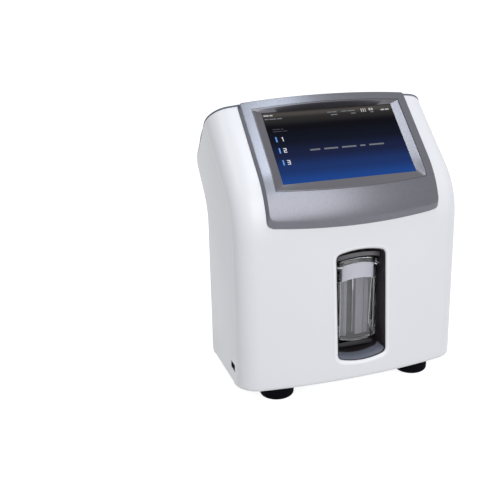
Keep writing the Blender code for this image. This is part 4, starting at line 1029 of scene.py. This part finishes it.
def build_rear_cover():
    """Rear cover with the opening for the connectors, the vents and the screw holes."""
    outer = housing_grid(rear_centre, rear_side, rear_rows)
    inner = housing_grid(rear_centre, rear_side, rear_rows, wall)
    cover = settle("rear_cover", sheet(outer, inner))
    soften(cover, edge_softness)
    outlines = [rounded_rectangle((panel_left_x, panel_low), (panel_right_x, panel_high), panel_corner)]
    for index in range(vent_count):
        x = (index - (vent_count - 1) / 2) * vent_pitch
        low, high = (x - vent_width / 2, vent_low), (x + vent_width / 2, vent_high)
        outlines.append(rounded_rectangle(low, high, vent_corner))
    for direction in (-1, 1):
        for height in (screw_low, screw_high):
            centre = (direction * screw_x, height)
            outlines.append(circle(centre, screw_shank_radius + 2 * seam, small_round_steps))
    cut(cover, *[prism(outline, "Y", rear_y - overrun, rear_y + overrun) for outline in outlines])


def display_place(side, share, half, low, high, sag):
    """Place on a side of an outline with a bowed lower edge, in X and along the display's slope."""
    bow = 2 * share - 1
    if side == "bottom":
        return bow * half, low - sag * (1 - bow * bow)
    if side == "right":
        return half, low + (high - low) * share
    if side == "top":
        return -bow * half, high
    return -half, high - (high - low) * share


def display_outline(*measures):
    shares = [step / rim_steps for step in range(rim_steps)]
    return [display_place(side, share, *measures) for side in display_sides for share in shares]


def rim_measures(grow):
    """Half width, lower and upper end and sag of the funnel's rim."""
    return rim_half_width + grow, rim_low - grow, rim_high + grow, rim_sag


def rim_outline(grow):
    """Outline of the funnel round the screen."""
    return display_outline(*rim_measures(grow))


def rim_prism(grow):
    """Straight cutter through the front shell, square to the display."""
    depth = 3 * overrun
    outline = rim_outline(grow)
    return looped([[over_display(x, along, height) for x, along in outline] for height in (-depth, depth)])


def bezel_places():
    """Round the bezel, anticlockwise from its lower left: side, share of the side, share of a corner."""
    reach, half_steps = bezel_corner_reach_share, bezel_corner_steps // 2
    turns = [(reach * step / half_steps, step / bezel_corner_steps) for step in range(half_steps)]
    shares = [(share, 0.5 + turn) for share, turn in turns]
    shares += [(reach + (1 - 2 * reach) * step / rim_steps, None) for step in range(rim_steps)]
    shares += [(1 - reach + share, turn) for share, turn in turns]
    return [(side, *share) for side in display_sides for share in shares]


def bezel_ring(half, rise, draft):
    """Outline of the bezel's face or back as turns and values of t, with rounded corners."""

    def foot(x):
        return bezel_foot_height + draft + bezel_foot_lift * (x / bezel_half_width) ** 2

    reach, top_t, edge_turn = bezel_corner_reach_share, front_centre.last - 2 * tangent_step, turn_at(half)

    def t_at(turn, height):
        return solve(lambda t: raised(t, turn, rise).z, bezel_low_t, top_t, height)

    top = raised(top_t, edge_turn, rise).z
    side_low = t_at(edge_turn, foot(half) + bezel_corner)
    side_high = t_at(edge_turn, top - bezel_top_corner * slope.y)
    ring = []
    for side, share, corner_share in bezel_places():
        along = (share - reach) / (1 - 2 * reach)
        if corner_share is None:
            if side == "bottom":
                x = (half - bezel_corner) * (2 * along - 1)
                ring.append((turn_at(x), t_at(turn_at(x), foot(x))))
            elif side == "right":
                ring.append((edge_turn, side_low + (side_high - side_low) * along))
            elif side == "top":
                ring.append((turn_at((half - bezel_top_corner) * (1 - 2 * along)), top_t))
            else:
                ring.append((-edge_turn, side_high + (side_low - side_high) * along))
            continue
        is_low = side == "bottom" or (side == "right" and share < 0.5) or (side == "left" and share > 0.5)
        is_right = side == "right" or (side == "bottom" and share > 0.5) or (side == "top" and share < 0.5)
        is_rising = is_low == is_right
        angle = math.pi / 2 * (corner_share if is_rising else 1 - corner_share)
        if is_low:
            x = half - bezel_corner + bezel_corner * math.sin(angle)
            height = foot(half) + bezel_corner * (1 - math.cos(angle))
        else:
            x = half - bezel_top_corner + bezel_top_corner * math.sin(angle)
            height = top - bezel_top_corner * (1 - math.cos(angle)) * slope.y
        turn = turn_at(x)
        t = top_t if not is_low and angle == 0 else t_at(turn, height)
        ring.append((turn if is_right else -turn, min(t, top_t)))
    return ring


def build_bezel():
    """Bezel with a smooth face, a softened drafted wall and the funnel's opening."""
    rim = [display_place(side, share, *rim_measures(rim_gap)) for side, share, _ in bezel_places()]
    rim_face, rim_back = [[over_shell(*place, rise) for place in rim] for rise in (bezel_rise, seam)]
    face = bezel_ring(bezel_half_width - bezel_side_draft, bezel_rise, bezel_foot_draft)
    back = bezel_ring(bezel_half_width, seam, 0)

    def between(start, end, share):
        return [tuple(a + (b - a) * share for a, b in zip(one, other)) for one, other in zip(start, end)]

    def with_rise(ring, rise):
        return [(turn, t, rise) for turn, t in ring]

    inside, edge = with_rise(rim_face, bezel_rise), with_rise(face, bezel_rise)
    outside, under = with_rise(back, seam), with_rise(rim_back, seam)
    loops = [under, with_rise(rim_face, bezel_rise - rim_edge)]
    loops += [between(inside, edge, face_edge_share * share) for share in face_edge_rows]
    for step in range(1, face_steps):
        loops.append(between(inside, edge, face_edge_share + (1 - 2 * face_edge_share) * step / face_steps))
    start, end = between(inside, edge, 1 - face_edge_share), between(edge, outside, bezel_edge_share)
    for step in range(rounding_steps + 1):
        share = step / rounding_steps
        loops.append(between(between(start, edge, share), between(edge, end, share), share))
    for step in range(1, rounding_steps + 1):
        loops.append(between(end, outside, step / rounding_steps))
    loops += [between(outside, under, step / face_steps) for step in range(1, face_steps)]
    grid = [[raised(t, turn, rise) for turn, t, rise in loop] for loop in loops]
    settle("display_bezel", looped(grid, closed=True))


def build_surround():
    """Funnel walls from the bezel's face down to the screen."""
    outer = rim_outline(0)
    heights = [height_over_display(x, along, bezel_rise) for x, along in outer]
    base = [over_display(x, along, seam) for x, along in outer]
    face = [over_display(x, along, height - rim_edge / 2) for (x, along), height in zip(outer, heights)]
    loops = [base, face]
    inner = display_outline(screen_width / 2, 0, screen_height, 0)
    for inset_share, drop_share in rim_roll:
        ring, drop = rim_outline(-inset_share * rim_edge), drop_share * rim_edge
        loops.append([over_display(x, along, height - drop) for (x, along), height in zip(ring, heights)])
    loops.append([over_display(x, along, 2 * seam) for x, along in inner])
    loops.append([over_display(x, along, seam) for x, along in inner])
    settle("display_surround", looped(loops, closed=True), surround_angle)


def build_glass():
    """Screen glass with its picture's coordinates."""
    half, top = screen_width / 2 + glass_border, screen_height + glass_border
    outline = rounded_rectangle((-half, -glass_border), (half, top), glass_border)
    heights = (-glass_thickness, 0)
    mesh = looped([[over_display(x, along, height) for x, along in outline] for height in heights])
    layer = mesh.loops.layers.uv.new("picture")
    for face in mesh.faces:
        for corner in face.loops:
            place = corner.vert.co
            along = (Vector((place.y, place.z)) - display_bottom).dot(slope)
            corner[layer].uv = (place.x / screen_width + 0.5, along / screen_height)
    settle("touch_glass", mesh)


def recess_wall(y):
    """Thickness of the recess's wall at a depth, as it tapers towards its back."""
    share = (y - window_bevel) / (recess_depth - recess_floor - window_bevel)
    return recess_mouth_wall + share * (recess_back_wall - recess_mouth_wall)


def leaning_loop(inset, distance):
    """Window outline as points, at a distance behind the leaning front."""
    outline = window_outline(inset)
    return [Vector((x, distance + front_lean_share * (z - bottom_height), z)) for x, z in outline]


def flat_loop(inset, y):
    return ring_at(window_outline(inset), "Y", y)


def build_liner():
    """Tapering tub behind the window, with a flange against the back of the front shell."""
    bow = (abs(window_x) + window_half_width + flange_width) ** 2 / (2 * bow_radius)
    rim = window_bevel + seam
    flange = wall + bow + seam
    mouth = leaning_loop(recess_mouth_wall, rim + mouth_chamfer)
    back = flat_loop(recess_back_wall, recess_depth - recess_floor)
    corner = flat_loop(recess_back_wall + recess_fillet, recess_depth - recess_floor)
    low = [a.lerp(b, recess_fillet / recess_depth) for a, b in zip(back, mouth)]
    loops = []
    for step in range(rounding_steps + 1):
        loops.append([rounded_corner(*places, step / rounding_steps) for places in zip(corner, back, low)])
    for step in range(1, rounding_steps + 1):
        loops.append([a.lerp(b, step / rounding_steps) for a, b in zip(low, mouth)])
    loops += [leaning_loop(seam * 2, rim - seam), leaning_loop(seam, rim - seam), leaning_loop(seam, rim)]
    flange_back = flange + flange_thickness
    loops += [leaning_loop(seam, flange), leaning_loop(-flange_width, flange)]
    loops += [leaning_loop(-flange_width, flange_back), leaning_loop(seam, flange_back)]
    loops.append(flat_loop(recess_back_wall - recess_floor, recess_depth))
    liner = settle("sampler_liner", looped(loops))
    half = window_half_width + flange_width
    hinge = (hinge_y, hinge_height)
    cut(liner, rod("X", hinge, pin_radius + seam, window_x - half, window_x + half))


def arc_strip(half, front_y_at, radius, depth, ends_at):
    """Grid of a convex strip; ends_at gives its low and high ends at a share of its half width."""
    grid = []
    for level in (0, 1):
        row = []
        for step in range(strip_columns + 1):
            share = 2 * step / strip_columns - 1
            angle = math.asin(share * half / radius)
            reach = radius - depth
            x = window_x + reach * math.sin(angle)
            y = front_y_at + radius - reach * math.cos(angle)
            row.append(Vector((x, y, ends_at(share)[level])))
        grid.append(row)
    return grid


def bowed_strip(half, front_y_at, radius, depths, ends_at):
    """Closed convex strip between two depths behind its face."""
    outer, inner = [arc_strip(half, front_y_at, radius, depth, ends_at) for depth in depths]
    return sheet(outer, inner)


def build_visor():
    """Curved band across the top of the recess, over the clear cover."""
    back = visor_y + fall_back(visor_radius, window_half_width) + visor_thickness
    inset = recess_wall(back) + 2 * seam
    half = window_half_width - inset

    def ends(share):
        arch = 1 - share * share
        return visor_low + visor_arch * arch, window_high - inset - visor_top_gap + window_high_rise * arch

    visor = settle("sampler_visor", bowed_strip(half, visor_y, visor_radius, (0, visor_thickness), ends))
    soften(visor, visor_thickness / 3)


def build_column():
    """Fixed column behind the cover, with the probe's channel and two grooves in its convex face."""

    def face(low, high):
        xs = [low + (high - low) * step / strip_columns for step in range(strip_columns + 1)]
        return [(x, column_front_y + fall_back(column_radius, x)) for x in xs]

    slots_across = (
        (-groove_offset, groove_width, groove_depth),
        (channel_offset, channel_width, channel_depth),
        (groove_offset, groove_width, groove_depth),
    )
    places, start = [], -column_half_width
    for centre, width, depth in slots_across:
        run = face(start, centre - width / 2)
        start = centre + width / 2
        landing = face(start, column_half_width)[0]
        places += run + [(run[-1][0], run[-1][1] + depth), (landing[0], landing[1] + depth)]
    places += face(start, column_half_width)
    back = recess_depth - recess_floor - seam
    places += [(column_half_width, back), (-column_half_width, back)]
    outline = [(window_x + x, y) for x, y in places]
    low, high = window_low + column_over_window, hinge_height - column_under_hinge
    column = settle("sampler_column", prism(outline, "Z", low, high))
    soften(column, seam)


cover_edge_y = cover_front_y + fall_back(cover_radius, cover_half_width)


def wing_outline():
    """Side wing of the clear cover in Y and Z: round about the pin, then down beside the column."""
    round_top = circle((hinge_y, hinge_height), ear_radius, small_round_steps)[: small_round_steps // 2 + 1]
    front_y_at = cover_edge_y + cover_thickness / 2
    corners = [
        (Vector((front_y_at, cover_low + wing_front_foot)), False),
        (Vector((wing_y, cover_low + wing_foot)), True),
        (Vector((wing_y, hinge_height - wing_under_hinge)), True),
    ]
    corners = [(Vector(place), False) for place in round_top] + corners
    return rounded_outline(corners, wing_corner)


def build_cover():
    """Clear cover: a convex pane with rounded corners and a wing on each side, which turns on the pin."""

    def ends(share):
        corner = max(0, (abs(share) - cover_corner_share) / (1 - cover_corner_share))
        lift = cover_corner * (1 - math.sqrt(max(0, 1 - corner * corner)))
        arch = 1 - share * share
        return cover_low - cover_sag * arch + lift, cover_high + cover_arch * arch - lift

    outer, inner = [], []
    for step in range(strip_columns + 1):
        share = 2 * step / strip_columns - 1
        low, high = ends(share)
        angle = math.asin(share * cover_half_width / cover_radius)
        columns = ([], [])
        for row in range(pane_rows + 1):
            z = low + (high - low) * row / pane_rows
            margin = min((1 - abs(share)) * cover_half_width, z - low, high - z)
            thin = pane_thinning * min(1, max(0, margin - pane_rim) / pane_fade)
            for column, depth in zip(columns, (0, cover_thickness - thin)):
                reach = cover_radius - depth
                x, y = reach * math.sin(angle), cover_front_y + cover_radius - reach * math.cos(angle)
                column.append(Vector((window_x + x, y, z)))
        outer.append(columns[0])
        inner.append(columns[1])
    cover = settle("sampler_cover", sheet(outer, inner))
    wing_inner = cover_half_width - ear_thickness
    left, right = window_x - cover_half_width, window_x + cover_half_width
    sides = ((left, window_x - wing_inner), (window_x + wing_inner, right))
    weld(cover, *[prism(wing_outline(), "X", *side) for side in sides])
    cut(cover, rod("X", (hinge_y, hinge_height), pin_radius + running_gap, left - overrun, right + overrun))
    soften(cover, pane_softness, pane_segments, pane_angle)


def build_channel_painted_shade():
    """Dark sheet on the floor of the column's channel: painted shade where the channel's floor lies in
    shadow.
    """
    centre, half = window_x + channel_offset, channel_width / 2 - seam
    deep = column_front_y + channel_depth
    low, high = window_low + column_over_window, hinge_height - column_under_hinge
    shade_sheet = box((centre - half, deep - 2 * sill_thickness, low), (centre + half, deep - seam, high))
    # The liner's dark grey laid in the channel as painted shade.
    add_painted_piece("channel_painted_shade", shade_sheet, "sampler_liner", "liner_grey")


def build_needle():
    """Thin needle in a light sleeve, which hangs from the probe's holder."""
    low = window_low + needle_over_window
    outline = [(needle_tip, low), (needle_thin, low + sleeve_taper), (needle_thin, sleeve_low)]
    outline += [(sleeve_radius, sleeve_low + sleeve_taper), (sleeve_radius, holder_low - seam)]
    settle("probe_needle", turned("Z", (window_x, probe_y), outline, small_round_steps))


def add_painted_piece(name, mesh, host, look):
    """Small piece that no node stands for, fixed to the body of its host node: these are the painted
    highlights, the painted light ledge and the painted shade in the channel.
    """
    bmesh.ops.translate(mesh, verts=mesh.verts, vec=(0, shift, 0))
    piece = add_piece(name, mesh, look)
    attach(piece, bodies[host])


def build_painted_light_sill():
    """Lighter blue-grey sheet on the recess's floor, from the lip back to the tray, mitred at its ends:
    painted light where the floor near the mouth catches the light from above and in front.
    """
    front, back = window_bevel + 3 * seam, sill_back_y
    grid = []
    for step in range(rounding_steps + 1):
        y = front + (back - front) * step / rounding_steps
        chamfer_share = max(0, 1 - (y - front) / mouth_chamfer)
        inset = recess_wall(y) - (recess_mouth_wall - 2 * seam) * chamfer_share + sill_gap
        half, low = window_half_width - inset, window_low + inset
        corner = window_corner - recess_mouth_wall
        row = []
        for column in range(-strip_columns, strip_columns + 1):
            x = half * column / strip_columns
            sag = window_low_sag * (1 - (x / half) ** 2)
            reach = max(0, abs(x) - (half - corner)) / corner
            row.append((x, low - sag + corner * (1 - math.sqrt(max(0, 1 - reach * reach)))))
        grid.append([Vector((window_x + x, y + front_lean_share * (z - bottom_height), z)) for x, z in row])
    high_grid = [[place + Vector((0, 0, sill_thickness)) for place in row] for row in grid]
    ledge = sheet(high_grid, grid)
    # Painted light: a lighter grey sheet where the recess floor catches the light.
    add_painted_piece("recess_painted_light_ledge", ledge, "sampler_liner", "painted_light_ledge_grey")


def build_window_lip_highlight():
    """Brighter rolled ring round the sampler window, on the front shell's lip: a painted highlight where the
    lip catches the light.
    """
    over, under = lip_rings(seam / 2, -highlight_rise), lip_rings(seam / 2, highlight_sink)
    mesh = looped(over + under[::-1], closed=True)
    # Painted highlight round the window's lip.
    add_painted_piece("window_lip_highlight", mesh, "front_shell", "painted_highlight_white")


def build_edge_highlights():
    """Bright rolled strips on the front shell's edges, beside the seams to the side panels: painted
    highlights where these edges catch the light.
    """
    for name, direction in (("left_edge_highlight", -1), ("right_edge_highlight", 1)):
        places = (0, edge_highlight_width / 2, edge_highlight_width)
        turns = [direction * (math.pi / 2 - place / corner_radius) for place in places]
        rises = (0, highlight_rise, 0)
        rows = [t for t in front_rows if 1 <= t < front_rows[-1] - tangent_step]
        outer = [[raised(t, turn, rise) for turn, rise in zip(turns, rises)] for t in rows]
        inner = [[raised(t, turn, -highlight_sink) for turn in turns] for t in rows]
        add_painted_piece(name, sheet(outer, inner), "front_shell", "painted_highlight_white")


def drawn_in(outline, amount):
    """Closed outline, run anticlockwise, moved inward."""
    places = []
    for index, place in enumerate(outline):
        before = (place - outline[index - 1]).normalized()
        after = (outline[(index + 1) % len(outline)] - place).normalized()
        along = (before + after).normalized()
        places.append(place + Vector((-along.y, along.x)) * amount)
    return places


def build_wing_highlights():
    """Light lines on the inner face of each of the cover's wings, along its edges and round the latch:
    painted highlights where the clear edges catch the light.
    """
    front_y_at = cover_edge_y + cover_thickness
    top, back_top = hinge_height - highlight_top_drop, hinge_height - highlight_back_drop
    wing_edge_highlight = [
        (front_y_at, cover_low + wing_front_foot),
        (wing_y, cover_low + wing_foot),
        (front_y_at + (wing_y - front_y_at) * highlight_back_share, back_top),
        (front_y_at, top),
    ]
    latch = [
        (front_y_at + highlight_line, cover_low + latch_low),
        (front_y_at + latch_depth, cover_low + latch_low + latch_depth / 3),
        (front_y_at + latch_depth, cover_low + latch_high),
        (front_y_at + highlight_line, cover_low + latch_high),
    ]
    inner = cover_half_width - ear_thickness
    for side, direction in (("left", -1), ("right", 1)):
        for kind, corners in (("frame", wing_edge_highlight), ("latch", latch)):
            outline = rounded_outline([(Vector(corner), True) for corner in corners], highlight_corner)
            outline = [Vector(place) for place in outline]
            inset = drawn_in(outline, highlight_line)
            xs = [window_x + direction * (inner - highlight_thickness), window_x + direction * (inner + seam)]
            rings = ((outline, xs[0]), (outline, xs[1]), (inset, xs[1]), (inset, xs[0]))
            mesh = looped([ring_at(ring, "X", x) for ring, x in rings], closed=True)
            # Each thin light outline is a painted highlight on the clear wing's edges.
            add_painted_piece(f"{side}_wing_{kind}", mesh, "sampler_cover", "painted_highlight_white")


def build_band():
    """Grey band on the inside of the clear cover."""

    def ends(share):
        high = hinge_height + band_over_hinge + cover_arch * (1 - share * share)
        return high - band_width, high

    depth = cover_thickness + seam
    half = cover_half_width - ear_thickness - 2 * seam
    depths = (depth, depth + band_thickness)
    settle("cover_band", bowed_strip(half, cover_front_y, cover_radius, depths, ends))


def build_feet():
    """Rubber feet, rounded at the floor and chamfered at the top."""
    height = bottom_height + wall
    outline = [(foot_radius - inset, depth) for inset, depth in quarter_round(foot_edge)]
    outline += [(foot_radius, height - foot_edge), (foot_radius - foot_edge, height)]
    for node in feet:
        low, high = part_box(node)
        centre = ((low.x + high.x) / 2, (low.y + high.y) / 2 - shift)
        settle(node, turned("Z", centre, outline))


def build_drawer_front():
    """Drawer fascia with a softened edge and a finger cup."""
    plate = prism(drawer_outline(seam), "X", half_width - fascia_back, half_width)
    fascia = settle("drawer_front", plate)
    soften(fascia, panel_edge)
    centre = Vector(((drawer_front_y + drawer_rear_y) / 2, (grip_high + grip_low) / 2))
    half, grown = Vector((grip_half_length, (grip_high - grip_low) / 2)), Vector((grip_wall, grip_wall))
    floor = half_width - grip_depth
    casing = rounded_rectangle(centre - half - grown, centre + half + grown, drawer_corner)
    weld(fascia, prism(casing, "X", floor - grip_wall, half_width - fascia_back / 2))
    loops = []
    for inset, depth in quarter_round(grip_fillet):
        grow = Vector((inset, inset))
        outline = rounded_rectangle(centre - half + grow, centre + half - grow, drawer_corner - inset)
        loops.append(ring_at(outline, "X", floor + depth))
    outline = rounded_rectangle(centre - half, centre + half, drawer_corner)
    loops.append(ring_at(outline, "X", half_width + overrun))
    cut(fascia, looped(loops))


def build_small_pieces():
    """Round the edges of the small parts and the parts inside."""
    for node in fine_edges:
        refine(node, fine_edge)
    for node in bold_edges:
        refine(node, bold_edge)


def build_hinge_pin():
    """Hinge pin at a finer step."""
    half = window_half_width - seam
    pin = rod("X", (hinge_y, hinge_height), pin_radius, window_x - half, window_x + half)
    settle("cover_hinge_pin", pin)


looks = make_materials()
for name, piece in frame["nodes"].items():
    piece.data.materials.clear()
    piece.data.materials.append(looks[slots[name]])
for build_piece in (
    build_front_shell,
    build_left_panel,
    build_right_panel,
    build_rear_cover,
    build_bezel,
    build_surround,
    build_glass,
    build_liner,
    build_visor,
    build_column,
    build_cover,
    build_band,
    build_painted_light_sill,
    build_channel_painted_shade,
    build_needle,
    build_window_lip_highlight,
    build_edge_highlights,
    build_wing_highlights,
    build_feet,
    build_drawer_front,
    build_hinge_pin,
    build_small_pieces,
):
    build_piece()


# Stage, light and camera

def looked_at(nodes):
    """1 for what the camera, a reflection or a clear piece shows, and 0 for what only lights the object."""
    rays = [nodes.add("LightPath", f"Is {kind} Ray", {}) for kind in ("Camera", "Glossy", "Transmission")]
    return nodes.maths("MAXIMUM", nodes.maths("MAXIMUM", rays[0], rays[1]), rays[2])


def build_floor():
    """White floor that keeps a soft shadow and shows white in glossy and clear pieces too."""
    mesh = bmesh.new()
    bmesh.ops.create_grid(mesh, x_segments=1, y_segments=1, size=floor_size)
    data = bpy.data.meshes.new("floor")
    mesh.to_mesh(data)
    mesh.free()
    floor = add_object("floor", data)
    look = new_look("floor_white")
    look.fill(look.shader, {
        "Base Color": (*floor_colour, 1),
        "Roughness": floor_roughness,
        "Emission Color": (1, 1, 1, 1),
        "Emission Strength": look.maths("MULTIPLY", looked_at(look), floor_glow),
    })
    data.materials.append(look.owner)


def build_world():
    world = bpy.data.worlds.new("studio")
    bpy.context.scene.world = world
    nodes = Nodes(world, "Background")
    dark_sky = (*(channel * sky_level for channel in sky_colour), 1)
    nodes.fill(nodes.shader, {"Color": nodes.mix(looked_at(nodes), dark_sky, (1, 1, 1, 1))})


def build_light(name, place, aim, size, power, colour):
    data = bpy.data.lights.new(name, "AREA")
    data.shape = "RECTANGLE"
    data.size, data.size_y = size
    data.energy = power
    data.color = colour
    light = add_object(name, data)
    light.location = place
    light.rotation_euler = (Vector(aim) - Vector(place)).to_track_quat("-Z", "Y").to_euler()


def build_camera():
    back = Vector((
        math.sin(camera_yaw) * math.cos(camera_pitch),
        -math.cos(camera_yaw) * math.cos(camera_pitch),
        math.sin(camera_pitch),
    ))
    right = Vector((math.cos(camera_yaw), math.sin(camera_yaw), 0))
    up = back.cross(right)
    rolled_right = right * math.cos(camera_roll) + up * math.sin(camera_roll)
    rolled_up = up * math.cos(camera_roll) - right * math.sin(camera_roll)
    data = bpy.data.cameras.new("camera")
    data.sensor_width = sensor_width
    data.lens = sensor_width * focal_pixels / frame_pixels
    data.shift_x = (frame_pixels / 2 - axis_pixel_x) / frame_pixels
    data.shift_y = (axis_pixel_y - frame_pixels / 2) / frame_pixels
    camera = add_object("camera", data)
    turn = Matrix((rolled_right, rolled_up, back)).transposed().to_4x4()
    camera.matrix_world = Matrix.Translation(camera_place + Vector((0, shift, 0))) @ turn
    bpy.context.scene.camera = camera


build_floor()
build_world()
for lamp in lamps:
    build_light(*lamp)
build_camera()
bpy.context.scene.view_settings.view_transform = "Standard"
